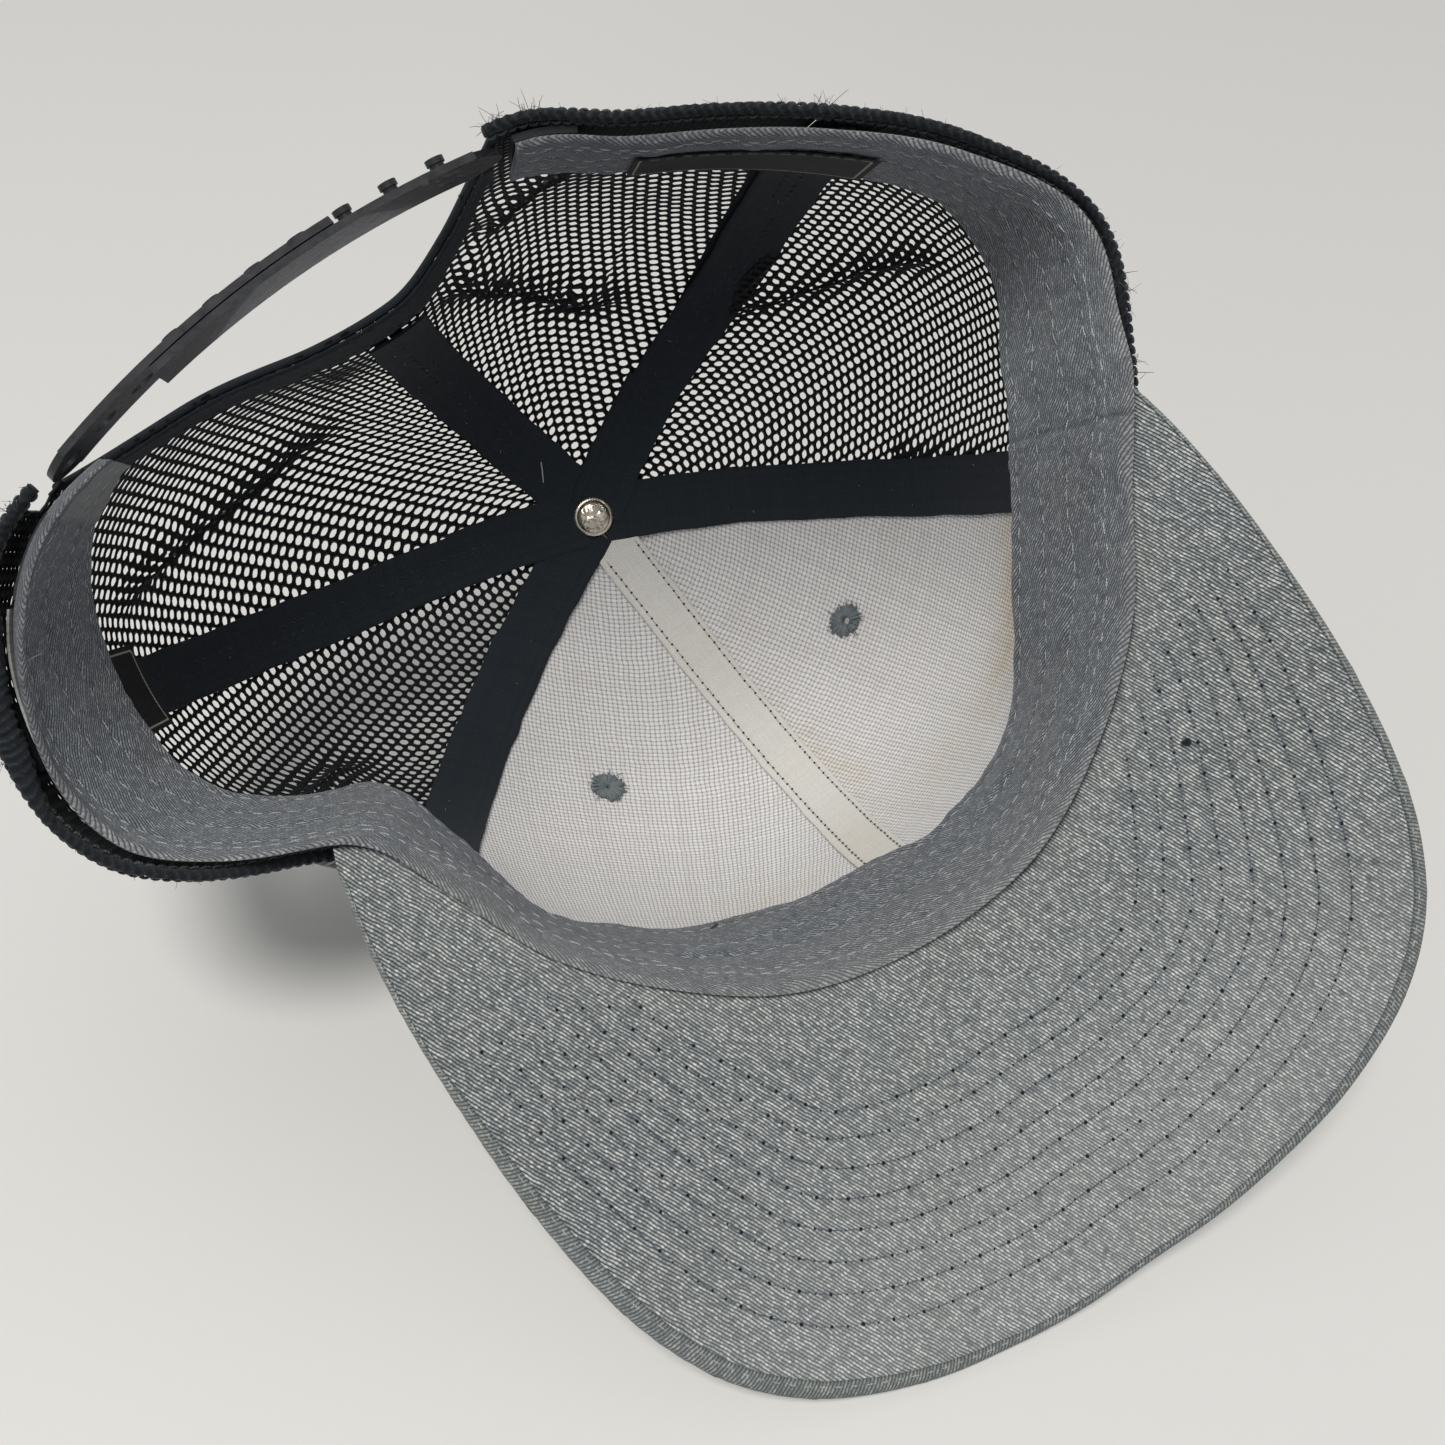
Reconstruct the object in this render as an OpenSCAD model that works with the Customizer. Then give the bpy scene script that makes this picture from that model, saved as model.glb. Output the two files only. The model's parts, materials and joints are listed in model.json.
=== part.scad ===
// Snapback mesh cap, standing upright: +Z up through the crown, visor towards -Y,
// the wearer's left towards +X. The origin is the centre of the head opening.
// Directions are degrees about the crown axis: 0 is the wearer's left, 90 the back.
// Crown, band and visor are thin closed sheets with small gaps between the layers.

/* [Crown] */
// Height of the crown lining above the plane of the head opening
crown_h = 114; // [100:1:125]
// Distance of the crown button behind the centre of the head opening
button_y = 5; // [0:1:10]
// Radius of the bottom edge from the crown axis, every 15 degrees from the wearer's left towards the back
rim_r = [
  109, 113.5, 106, 86, 74, 70, 68, 69, 67.5, 70, 76, 86.5,
  92, 90.5, 88, 91, 94, 97, 96, 93, 87, 82, 79, 82
]; // [60:1:120]
// Radius of the crown at shoulder height, at the same stations
shoulder_r = [
  106, 112, 106, 90, 72, 64, 65, 69, 71, 75, 82, 90,
  94, 92, 90, 92, 94, 95, 94, 92, 88, 85, 84, 94
]; // [60:1:120]
// Height at which the crown has its shoulder radius
shoulder_z = 60; // [40:1:80]
// Squareness of the crown profile at the front
square_front = 3.3; // [2:0.1:4]
// Squareness of the crown profile at the back
square_back = 2.4; // [2:0.1:4]
// Thickness of the front fabric
front_t = 0.9; // [0.5:0.1:1.5]
// Thickness of the mesh
mesh_t = 1.1; // [0.6:0.1:1.5]
// Thickness of the buckram lining
buckram_t = 0.6; // [0.3:0.1:1]

/* [Seams] */
// Direction of the six seams from the button: left side back, back centre, right side back, right front, front centre, left front
seam_dirs = [13, 71, 147.5, 208.7, 265.2, 330]; // [0:1:359]
// Width of the black seam tapes
tape_w = 13; // [8:0.5:18]
// Width of the pale tape on the front centre seam
front_tape_w = 11; // [6:0.5:16]
// Thickness of a seam tape
tape_t = 0.6; // [0.3:0.1:1]

/* [Back opening] */
// Direction of the left end of the back opening
open_left = 34; // [30:1:40]
// Direction of the top of the back opening
open_top = 70; // [60:1:80]
// Direction of the right end of the back opening
open_right = 99.5; // [95:0.5:105]
// Height of the back opening
open_h = 50; // [40:1:60]
// Width of the binding round the back opening
bind_w = 9; // [6:1:14]

/* [Sweatband] */
// Height of the sweatband
band_h = 32; // [26:1:38]
// Thickness of the sweatband
band_t = 1.2; // [0.8:0.1:2]
// Radius of the free top edge of the sweatband, at the same stations as the rim
band_r = [
  92, 98, 98, 88, 74, 66, 65, 65.4, 65.5, 67, 73, 81.5,
  81.5, 76, 75.2, 77.5, 82.5, 83, 83, 82.5, 80, 77, 71.5, 71
]; // [60:1:110]

/* [Visor] */
// Half of the visor outline in plan, [sideways, y], from its back corner towards the tip
visor_pts = [
  [82, -19], [84.5, -32], [85.7, -47], [86, -62], [85.5, -80], [83, -99],
  [78.5, -115], [71, -129], [60, -140.5], [45, -149.5], [30, -154.5], [15, -157.3]
]; // [-170:1:100]
// Y position of the visor tip, in front of the head opening's centre
visor_tip = -158.2; // [-170:0.1:-150]
// Sideways offset of the visor centre line
visor_x = -2; // [-5:0.5:5]
// Height of the visor underside where it meets the front centre
visor_z = 5; // [0:1:12]
// Downward slope of the visor
visor_slope = 14; // [6:1:20]
// Radius of the sideways curve of the visor
visor_curve = 146; // [120:1:400]
// Thickness of the visor board
board_t = 1.8; // [1:0.1:3]
// Thickness of each visor fabric cover
cover_t = 0.7; // [0.4:0.1:1.2]

/* [Eyelets] */
// Directions of the right and left eyelets from the button
eyelet_dirs = [234, 300]; // [220:1:320]
// Distance of the eyelets from the crown axis
eyelet_r = 61; // [40:1:70]
// Radius of the vent hole
eyelet_hole = 1.5; // [1:0.1:2.5]

/* [Snap straps] */
// Height of the straps
strap_h = 19; // [15:1:24]
// Thickness of a strap
strap_t = 1.4; // [1:0.1:2]
// Spacing of the pegs and holes
snap_pitch = 9; // [8:0.5:10]
// Radius of the peg shank
peg_r = 1.4; // [1:0.1:1.8]
// Radius of the peg head
head_r = 1.75; // [1.5:0.1:2.2]
// Radius of the strap holes
hole_r = 2.6; // [2.3:0.1:3]

/* [Attitude] */
// Nose-up tilt at which the cap rests on its visor corners and back edge
rest_tilt = 6.5; // [0:0.5:10]

/* [Hidden] */

gap = 0.25; // between layers
deg_per_rad = 180 / PI;

// places in seam_dirs
left_back = 0;
back_centre = 1;
right_back = 2;
right_front = 3;
front_centre = 4;
left_front = 5;

// the two front panels and their eyelets
right = 0;
left = 1;

fabric_grey = [0.50, 0.53, 0.55];
buckram_pale = [0.79, 0.78, 0.78];
mesh_black = [0.05, 0.05, 0.06];
tape_black = [0.04, 0.05, 0.06];
eyelet_grey = [0.33, 0.38, 0.41];
strap_black = [0.07, 0.07, 0.08];

// ---- Helpers ----
function lerp(start, end, share) = start + (end - start) * share;
function clamp(x) = min(1, max(0, x));
function smooth(x) = let(share = clamp(x)) share * share * (3 - 2 * share);
function wrap(angle) = ((angle % 360) + 360) % 360;
function unit(v) = v / max(norm(v), 1e-9);

// Catmull-Rom curve between start and end
function curve(before, start, end, after, t) = 0.5 * (2 * start + (end - before) * t
  + (2 * before - 5 * start + 4 * end - after) * t * t
  + (3 * start - before - 3 * end + after) * t * t * t);

// value of a list of stations, 15 degrees apart, at a direction
function station(list, dir) = let(place = wrap(dir) / 15, i = floor(place), n = len(list))
  curve(list[(i + n - 1) % n], list[i % n], list[(i + 1) % n], list[(i + 2) % n], place - i);

// point in plan at a direction and radius from the crown axis
function plan(dir, radius) = [radius * cos(dir), radius * sin(dir) + button_y];

function triangles(quads) = [for (q = quads) each [[q[0], q[1], q[2]], [q[0], q[2], q[3]]]];

// closed slab between two equal grids of points
module slab(outer, inner) {
  rows = len(outer);
  cols = len(outer[0]);
  function id(side, i, j) = (side * rows + i) * cols + j;
  faces = [for (i = [0:rows - 2]) for (j = [0:cols - 2]) each [
    [id(0, i, j), id(0, i + 1, j), id(0, i + 1, j + 1), id(0, i, j + 1)],
    [id(1, i, j), id(1, i, j + 1), id(1, i + 1, j + 1), id(1, i + 1, j)]]];
  side_edges = [for (i = [0:rows - 2]) each [
    [id(0, i, 0), id(1, i, 0), id(1, i + 1, 0), id(0, i + 1, 0)],
    [id(0, i, cols - 1), id(0, i + 1, cols - 1), id(1, i + 1, cols - 1), id(1, i, cols - 1)]]];
  end_edges = [for (j = [0:cols - 2]) each [
    [id(0, 0, j), id(0, 0, j + 1), id(1, 0, j + 1), id(1, 0, j)],
    [id(0, rows - 1, j), id(1, rows - 1, j), id(1, rows - 1, j + 1), id(0, rows - 1, j + 1)]]];
  polyhedron(
    points = [for (grid = [outer, inner]) for (row = grid) each row],
    faces = triangles(concat(faces, side_edges, end_edges)));
}

module attitude() { rotate([-rest_tilt, 0, 0]) children(); }

// ---- Bottom edge of the crown, which rides over the visor ----
visor_dirs = [197, 347]; // directions of the visor's right and left corners
visor_blend = 9; // degrees over which the edge climbs on to the visor
visor_root_y = -88; // where the underside is visor_z high
board_bottom = cover_t + gap;
top_cover_bottom = board_bottom + board_t + gap;
visor_stack = top_cover_bottom + cover_t + gap + 0.1;

// height of the visor underside at a point in plan
function visor_height(p) =
  visor_z + tan(visor_slope) * (p.y - visor_root_y) - p.x * p.x / (2 * visor_curve);
function rim_plan(dir, out = 0) = plan(dir, station(rim_r, dir) + out);
// 1 over the visor, 0 away from it
function over_visor(dir) = let(turn = wrap(dir))
  smooth((turn - visor_dirs[0] + visor_blend) / visor_blend)
  * smooth((visor_dirs[1] + visor_blend - turn) / visor_blend);
function base_z(dir) = over_visor(dir) * (visor_height(rim_plan(dir)) + visor_stack);

// ---- Crown surface ----
// A share runs up the profile from a foot height (0) to the crown axis (1).
function squareness(dir) =
  (square_front + square_back) / 2 - (square_front - square_back) / 2 * sin(dir);
function radius_at_z(dir, z) =
  let(base = base_z(dir), power = squareness(dir),
    rise = clamp(min((z - base) / (crown_h - base), 0.99999)))
  lerp(station(rim_r, dir), station(shoulder_r, dir), smooth(max(z, 0) / shoulder_z))
  * pow(1 - pow(rise, power), 1 / power);
// heights come closer together towards the flat top
function height(dir, foot, share) =
  let(base = base_z(dir), full = crown_h - base, power = squareness(dir),
    start = asin(pow(clamp((foot - base) / full), power / 2)))
  base + full * pow(max(sin(lerp(start, 90, clamp(share))), 0), 2 / power);
function radius(dir, foot, share) = radius_at_z(dir, height(dir, foot, share));
function lining(dir, foot, share) = let(z = height(dir, foot, share))
  concat(plan(dir, radius_at_z(dir, z)), [z]);
// point on the crown, pushed out along the surface normal
function skin(dir, foot, share, out) =
  let(near = min(share, 0.985), turn = 0.8, step = 0.01,
    around = lining(dir + turn, foot, near) - lining(dir - turn, foot, near),
    up = lining(dir, foot, near + step) - lining(dir, foot, near - step))
  lining(dir, foot, share) + unit(cross(around, up)) * out;
// share at which the radius has come down to a target, found by halving
function share_at(dir, foot, target, low = 0.5, high = 1, steps = 16) =
  let(mid = (low + high) / 2)
  steps == 0 ? mid
    : radius(dir, foot, mid) > target ? share_at(dir, foot, target, mid, high, steps - 1)
    : share_at(dir, foot, target, low, mid, steps - 1);

// ---- Crown panels ----
hem_z = 3.2; // height of the mesh edge above the crown's bottom edge
panel_top_r = 2.4;
panel_rows = 12;
panel_crowding = 1.25; // above 1 packs the rows towards the top
seam_inset = 0.2; // from the seam line to the panel edge
front_cols = 10;
buckram_rise = 0.8;

// height of the edge of the back opening at a direction, or -1 outside it
function arch(dir) =
  let(across = (dir - open_top) / ((dir < open_top ? open_left : open_right) - open_top))
  across >= 1 ? -1 : open_h * pow(1 - pow(across, 2.4), 0.55);

// sheet of crown between two seams, lying between two distances out from the lining
module panel(start, end, inner, outer, cols, is_mesh, rise = 0) {
  function foot(dir) =
    (is_mesh ? max(hem_z + base_z(dir), arch(dir)) : base_z(dir)) + rise;
  function point(i, j, out) =
    let(ray = lerp(start, end, j / cols), ray_foot = foot(ray),
      share = share_at(ray, ray_foot, panel_top_r) * (1 - pow(1 - i / panel_rows, panel_crowding)),
      inset = seam_inset / max(radius(ray, ray_foot, share), panel_top_r) * deg_per_rad,
      dir = lerp(start + inset, end - inset, j / cols))
    skin(dir, foot(dir), share, out);
  function face(out) = [for (i = [0:panel_rows]) [for (j = [0:cols]) point(i, j, out)]];
  slab(face(outer), face(inner));
}
module front_sheet(side, inner, outer, rise = 0) {
  seam = right_front + side;
  difference() {
    panel(seam_dirs[seam], seam_dirs[seam + 1], inner, outer, front_cols, false, rise);
    eyelet_bore(side);
  }
}
module front_panel(side) { front_sheet(side, 0, front_t); }
module buckram(side) { front_sheet(side, -gap - buckram_t, -gap, buckram_rise); }
module mesh_panel(start, end, cols) { panel(start, end, 0, mesh_t, cols, true); }

module front_panel_left() { color(fabric_grey) attitude() front_panel(left); }
module front_panel_right() { color(fabric_grey) attitude() front_panel(right); }
module buckram_left() { color(buckram_pale) attitude() buckram(left); }
module buckram_right() { color(buckram_pale) attitude() buckram(right); }
module side_mesh_left() {
  color(mesh_black) attitude() mesh_panel(seam_dirs[left_front], seam_dirs[left_back] + 360, 16);
}
module side_mesh_right() {
  color(mesh_black) attitude() mesh_panel(seam_dirs[right_back], seam_dirs[right_front], 16);
}
module back_mesh_left() {
  color(mesh_black) attitude() mesh_panel(seam_dirs[left_back], seam_dirs[back_centre], 22);
}
module back_mesh_right() {
  color(mesh_black) attitude() mesh_panel(seam_dirs[back_centre], seam_dirs[right_back], 26);
}

// ---- Seam tapes ----
tape_depth = gap + buckram_t + 0.5; // of the tape's outer face, inside the lining surface
tape_top_r = 3.2;
tape_rows = 16;
tape_crowding = 1.2; // above 1 packs the rows towards the top
tape_sides = [-1, -0.001, 1]; // edge, middle and edge, in half widths
side_tape_foot = 6;
back_tape_foot = open_h + bind_w + 1;
function front_tape_foot(seam) = base_z(seam_dirs[seam]) + 1.5;

// strip inside a seam; near the button it narrows to the middle lines between the seams
module seam_tape(seam, width, foot) {
  dir = seam_dirs[seam];
  count = len(seam_dirs);
  half_after = wrap(seam_dirs[(seam + 1) % count] - dir) / 2;
  half_before = wrap(dir - seam_dirs[(seam + count - 1) % count]) / 2;
  top_share = share_at(dir, foot, tape_top_r);
  function point(i, side, out) =
    let(share = top_share * (1 - pow(1 - i / tape_rows, tape_crowding)),
      degrees = deg_per_rad / max(radius(dir, foot, share), tape_top_r),
      limit = (side > 0 ? half_after : half_before) - gap * degrees)
    skin(dir + side * min(width / 2 * degrees, limit), foot, share, out);
  function face(out) = [for (i = [0:tape_rows]) [for (side = tape_sides) point(i, side, out)]];
  slab(face(-tape_depth), face(-tape_depth - tape_t));
}
module front_center_seam_tape() {
  color([0.76, 0.75, 0.73]) attitude()
    seam_tape(front_centre, front_tape_w, front_tape_foot(front_centre));
}
module front_side_seam_tape_left() {
  color(tape_black) attitude() seam_tape(left_front, tape_w, front_tape_foot(left_front));
}
module front_side_seam_tape_right() {
  color(tape_black) attitude() seam_tape(right_front, tape_w, front_tape_foot(right_front));
}
module side_back_seam_tape_left() {
  color(tape_black) attitude() seam_tape(left_back, tape_w, side_tape_foot);
}
module side_back_seam_tape_right() {
  color(tape_black) attitude() seam_tape(right_back, tape_w, side_tape_foot);
}
module back_center_seam_tape() {
  color(tape_black) attitude() seam_tape(back_centre, tape_w, back_tape_foot);
}

// ---- Binding and hem ----
// strip of crown surface between a low and a high height at each direction
module strip(dirs, lows, highs, inner, outer) {
  rows = 2;
  function face(out) = [for (i = [0:rows]) [for (j = [0:len(dirs) - 1])
    skin(dirs[j], lerp(lows[j], highs[j], i / rows), 0, out)]];
  slab(face(outer), face(inner));
}

// binding along the edge of the back opening, on the inside of the mesh
module back_opening_binding() {
  steps = 34;
  end_inset = 0.6; // degrees
  edge_overlap = 0.6;
  lowest = 23;
  // directions crowd towards the ends, where the arch is steep
  function dir_at(across) = let(share = 1 - pow(1 - abs(across), 1.6))
    lerp(open_top, across < 0 ? open_left + end_inset : open_right - end_inset, share);
  dirs = [for (j = [0:steps]) dir_at(2 * j / steps - 1)];
  edges = [for (dir = dirs) max(arch(dir), lowest)];
  color(tape_black) attitude()
    strip(dirs, [for (z = edges) z - edge_overlap], [for (z = edges) z + bind_w], -1.25, -0.6);
}

hem_bottom = -1.6;
hem_top = hem_z - gap;
// hem section: [out from the lining, height above the crown's bottom edge]
hem_section = [[-0.9, hem_bottom], [1.9, hem_bottom], [2.3, 0.7], [1.9, hem_top], [-0.9, hem_top]];
hem_seam_gap = 0.3; // degrees

// rolled hem along the bottom of the mesh; its underside is lifted clear of the visor
module hem_run(start, end, steps) {
  function ring(dir) =
    let(base = base_z(dir), lowest = lerp(hem_bottom, gap, over_visor(dir)))
    [for (p = hem_section) let(q = skin(dir, base, 0.0001, p[0]))
      [q.x, q.y, base + max(p[1], lowest)]];
  n = len(hem_section);
  last = steps * n;
  sides = [for (j = [0:steps - 1]) for (i = [0:n - 1]) let(next = (i + 1) % n)
    [j * n + i, (j + 1) * n + i, (j + 1) * n + next, j * n + next]];
  caps = [for (i = [1:n - 2]) each [[0, i, i + 1], [last, last + i + 1, last + i]]];
  polyhedron(
    points = [for (j = [0:steps]) each ring(lerp(start, end, j / steps))],
    faces = concat(triangles(sides), caps));
}
module mesh_hem() {
  color([0.04, 0.04, 0.05]) attitude() {
    hem_run(open_right, seam_dirs[right_front] - hem_seam_gap, 44);
    hem_run(seam_dirs[left_front] + hem_seam_gap, 360 + open_left, 40);
  }
}

// ---- Sweatband and labels ----
band_start = 103; // right of the back opening, from where the band runs round the front
band_end = 398; // left of the back opening
band_inset = 3.3; // from the rim to the band's sewn bottom edge
band_drop = 0.6; // below the head opening, away from the visor
band_visor_drop = 0.4; // below the visor underside

function band_z(dir) = let(share = over_visor(dir))
  share * (visor_height(rim_plan(dir)) - band_visor_drop) - band_drop * (1 - share);
// radius of the band's outer face, from its bottom edge (0) up to its free edge (1)
function band_radius(dir, share) = let(bottom = station(rim_r, dir) - band_inset)
  lerp(bottom, min(station(band_r, dir), bottom), pow(share, 1.15));
function band_point(dir, share, out) =
  concat(plan(dir, band_radius(dir, share) + out), [band_z(dir) + band_h * share]);

// sheet that follows the band between two directions and two shares of its height
module band_sheet(start, end, low, high, cols, rows, inner, outer) {
  function face(out) = [for (i = [0:rows]) [for (j = [0:cols])
    band_point(lerp(start, end, j / cols), lerp(low, high, i / rows), out)]];
  slab(face(outer), face(inner));
}
module sweatband() {
  color([0.41, 0.43, 0.46]) attitude()
    band_sheet(band_start, band_end, 0, 1, cols = 96, rows = 4, inner = -band_t, outer = 0);
}
module sweatband_backing() {
  color([0.85, 0.85, 0.84]) attitude() band_sheet(band_start + 12, band_end - 14, 0.12, 0.8,
    cols = 72, rows = 2, inner = 0.5, outer = 1);
}
// plain label on the inside of the band
module woven_label() {
  thick = 0.5;
  color([0.03, 0.03, 0.04]) attitude() band_sheet(122, 158, 0.30, 0.90,
    cols = 12, rows = 1, inner = -band_t - gap - thick, outer = -band_t - gap);
}
// plain label above the band's left edge
module care_label() {
  dirs = [8, 18];
  offset_out = 2.2;
  lift = 0.8;
  tall = 13.4;
  thick = 0.5;
  cols = 5;
  function point(dir, share, out) =
    concat(plan(dir, band_radius(dir, 1) + offset_out + out),
      [band_z(dir) + band_h + lift + tall * share]);
  function face(out) = [for (share = [0, 0.5, 1]) [for (j = [0:cols])
    point(lerp(dirs[0], dirs[1], j / cols), share, out)]];
  color([0.04, 0.04, 0.04]) attitude() slab(face(thick), face(0));
}

// ---- Visor ----
visor_centre = [0, -60]; // the board's outline is inset towards this point
// whole outline in plan, from the right back corner round the tip to the left one
visor_outline = concat(
  [for (p = visor_pts) [visor_x - p.x, p.y]],
  [[visor_x, visor_tip]],
  [for (i = [len(visor_pts) - 1:-1:0]) [visor_x + visor_pts[i].x, visor_pts[i].y]]);

function outline_at(share) =
  let(n = len(visor_outline) - 1, place = min(share, 0.99999) * n, i = floor(place))
  curve(visor_outline[max(i - 1, 0)], visor_outline[i], visor_outline[i + 1],
    visor_outline[min(i + 2, n)], place - i);
// across runs from the right corner to the left, forward from the sewn edge to the outline
function visor_point(across, forward, lift, inset) =
  let(root = rim_plan(lerp(visor_dirs[0] + 1, visor_dirs[1] - 1, across), -1),
    edge = outline_at(across),
    p = lerp(root, edge - inset * unit(edge - visor_centre), forward))
  [p.x, p.y, visor_height(p) + lift];

module visor_layer(bottom, thick, inset = 0) {
  cols = 40;
  rows = 7;
  function face(lift) = [for (i = [0:rows]) [for (j = [0:cols])
    visor_point(j / cols, i / rows, lift, inset)]];
  slab(face(bottom), face(bottom + thick));
}
module visor_under_cover() { color(fabric_grey) attitude() visor_layer(0, cover_t); }
module visor_board() {
  color([0.12, 0.12, 0.12]) attitude() visor_layer(board_bottom, board_t, inset = 1.5);
}
module visor_top_cover() {
  color(fabric_grey) attitude() visor_layer(top_cover_bottom, cover_t);
}

// ---- Button and rivet, on the crown axis ----
button_clear = 0.3;

// domed button outside, with a blind hole for the rivet
module crown_button() {
  base_r = 7.2;
  dome_r = 7.6;
  dome_z = 0.7;
  dome_h = 4.2;
  dome = [for (a = [0:10:90]) [dome_r * pow(cos(a), 0.7), dome_z + dome_h * pow(sin(a), 0.9)]];
  color(mesh_black) attitude()
    translate([0, button_y, crown_h + mesh_t + button_clear]) difference() {
      rotate_extrude($fn = 64) polygon(concat([[0, 0], [base_r, 0]], dome));
      translate([0, 0, -1]) cylinder(r = 1.6, h = 4, $fn = 48);
    }
}
// rivet with its domed head inside the crown
module button_rivet() {
  flange_r = 4.4;
  flange_t = 0.5;
  dome_h = 1.7;
  shank_r = 1.5;
  shank_h = 4.4 + tape_depth;
  dome = [for (a = [80:-10:0]) [flange_r * cos(a), -flange_t - dome_h * sin(a)]];
  color([0.78, 0.76, 0.72]) attitude()
    translate([0, button_y, crown_h - tape_depth - tape_t - button_clear])
      rotate_extrude($fn = 64) polygon(concat([[0, shank_h], [0, -flange_t - dome_h]], dome,
        [[flange_r, 0], [shank_r, 0], [shank_r, shank_h]]));
}

// ---- Eyelets ----
// +Z of the children points out along the surface normal
module at_eyelet(side) {
  dir = eyelet_dirs[side];
  foot = base_z(dir);
  share = share_at(dir, foot, eyelet_r, 0, 1);
  place = skin(dir, foot, share, 0);
  out = unit(skin(dir, foot, share, 1) - place);
  translate(place) rotate([0, acos(out.z), atan2(out.y, out.x)]) children();
}
module eyelet_bore(side) {
  at_eyelet(side) translate([0, 0, -4]) cylinder(r = 2.4, h = 8, $fn = 48);
}
// flanged ring through the front fabric and its lining
module eyelet(side) {
  inside = -(gap + buckram_t + 0.45);
  outside = front_t + 0.35;
  barrel_r = 2.15;
  flange_r = 3.7;
  face_r = 3.1;
  edge_t = 0.3;
  flange_t = 0.7;
  at_eyelet(side) rotate_extrude($fn = 64) polygon([
    [eyelet_hole, inside - flange_t], [face_r, inside - flange_t],
    [flange_r, inside - edge_t], [flange_r, inside], [barrel_r, inside],
    [barrel_r, outside], [flange_r, outside], [flange_r, outside + edge_t],
    [face_r, outside + flange_t], [eyelet_hole, outside + flange_t]]);
}
module eyelet_left() { color(eyelet_grey) attitude() eyelet(left); }
module eyelet_right() { color(eyelet_grey) attitude() eyelet(right); }

// ---- Straps: flat bands on one shallow arc between the two sewn ends ----
peg_end = [-14, 69.6];
hole_end = [83.5, 62];
arc_rise = 6.3;
chord = norm(hole_end - peg_end);
arc_r = chord * chord / 8 / arc_rise + arc_rise / 2;
along = unit(hole_end - peg_end);
outward = [-along.y, along.x];
arc_centre = (hole_end + peg_end) / 2 - outward * (arc_r - arc_rise);
strap_z = 1.5;
strap_end = chord / 2 - 0.6;
snap_count = 7;
first_peg = -37.5;
first_hole = -10.5;

// s is the distance along the arc from its middle, positive towards the wearer's left;
// the children's +Z points outward, their +X down and their +Y towards lower s
module on_arc(s, radius = arc_r) {
  translate([arc_centre.x, arc_centre.y, strap_z + strap_h / 2])
    rotate([0, 0, atan2(outward.y, outward.x) - s / arc_r * deg_per_rad])
      translate([radius, 0, 0]) rotate([0, 90, 0]) children();
}
// strap from s = start to s = end; round_side is 1 to round the start, -1 to round the end
module strap_body(start, end, inner_r, round_side) {
  length = end - start;
  width = strap_h + 2;
  round_r = strap_h / 2;
  round_l = 5;
  reach = 12;
  intersection() {
    translate([arc_centre.x, arc_centre.y, strap_z]) difference() {
      cylinder(r = inner_r + strap_t, h = strap_h, $fn = 360);
      translate([0, 0, -1]) cylinder(r = inner_r, h = strap_h + 2, $fn = 360);
    }
    on_arc((start + end) / 2, inner_r - reach) linear_extrude(2 * reach) union() {
      translate([-width / 2, -length / 2 + (round_side > 0 ? 0 : round_l)])
        square([width, length - round_l]);
      intersection() {
        translate([0, round_side * (length / 2 - round_r)]) circle(r = round_r, $fn = 64);
        translate([-width / 2, round_side > 0 ? length / 2 - round_l - 1 : -length / 2])
          square([width, round_l + 1]);
      }
    }
  }
}
module snap_strap_pegs() {
  color(strap_black) attitude() {
    strap_body(-strap_end, 22.5, arc_r, 1);
    for (i = [0:snap_count - 1])
      on_arc(first_peg + snap_pitch * i, arc_r + strap_t - 0.2) {
        cylinder(r = peg_r, h = 2.6, $fn = 32);
        translate([0, 0, 2.2]) cylinder(r = head_r, h = 1.1, $fn = 32);
      }
  }
}
module snap_strap_holes() {
  color(strap_black) attitude() difference() {
    strap_body(-17, strap_end, arc_r + strap_t + gap, -1);
    for (i = [0:snap_count - 1])
      on_arc(first_hole + snap_pitch * i, arc_r - 2) cylinder(r = hole_r, h = 8, $fn = 48);
  }
}
// strap end sewn between the mesh and the sweatband
module sewn_end(start, end) {
  steps = 6;
  margin = 0.5;
  dirs = [for (j = [0:steps]) lerp(start, end, j / steps)];
  strip(dirs, [for (dir = dirs) strap_z + margin],
    [for (dir = dirs) strap_z + strap_h - margin], -2.7, -1.4);
}
module peg_strap_sewn_end() { color(strap_black) attitude() sewn_end(103, 113); }
module hole_strap_sewn_end() { color(strap_black) attitude() sewn_end(25, 33); }

front_panel_left();
front_panel_right();
buckram_left();
buckram_right();
side_mesh_left();
side_mesh_right();
back_mesh_left();
back_mesh_right();
front_center_seam_tape();
front_side_seam_tape_left();
front_side_seam_tape_right();
side_back_seam_tape_left();
side_back_seam_tape_right();
back_center_seam_tape();
back_opening_binding();
mesh_hem();
sweatband();
sweatband_backing();
visor_under_cover();
visor_board();
visor_top_cover();
crown_button();
button_rivet();
eyelet_left();
eyelet_right();
snap_strap_pegs();
snap_strap_holes();
peg_strap_sewn_end();
hole_strap_sewn_end();
woven_label();
care_label();
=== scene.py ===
# Looks for a mesh-backed snapback cap: knitted net, twill, buckram, stitching, tapes, hem, straps.
# Shapes are worked out in cap millimetres: Z up through the crown, visor towards -Y, the wearer's
# left towards +X. Angles are degrees round the button's axis: 0 at +X, 90 at the back, 270 in front.
# to_row() tips the cap so that the visor's tip rises, and gives metres in the row frame.
import json
import math

import bpy
import numpy as np
from mathutils import Matrix, Vector

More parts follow.
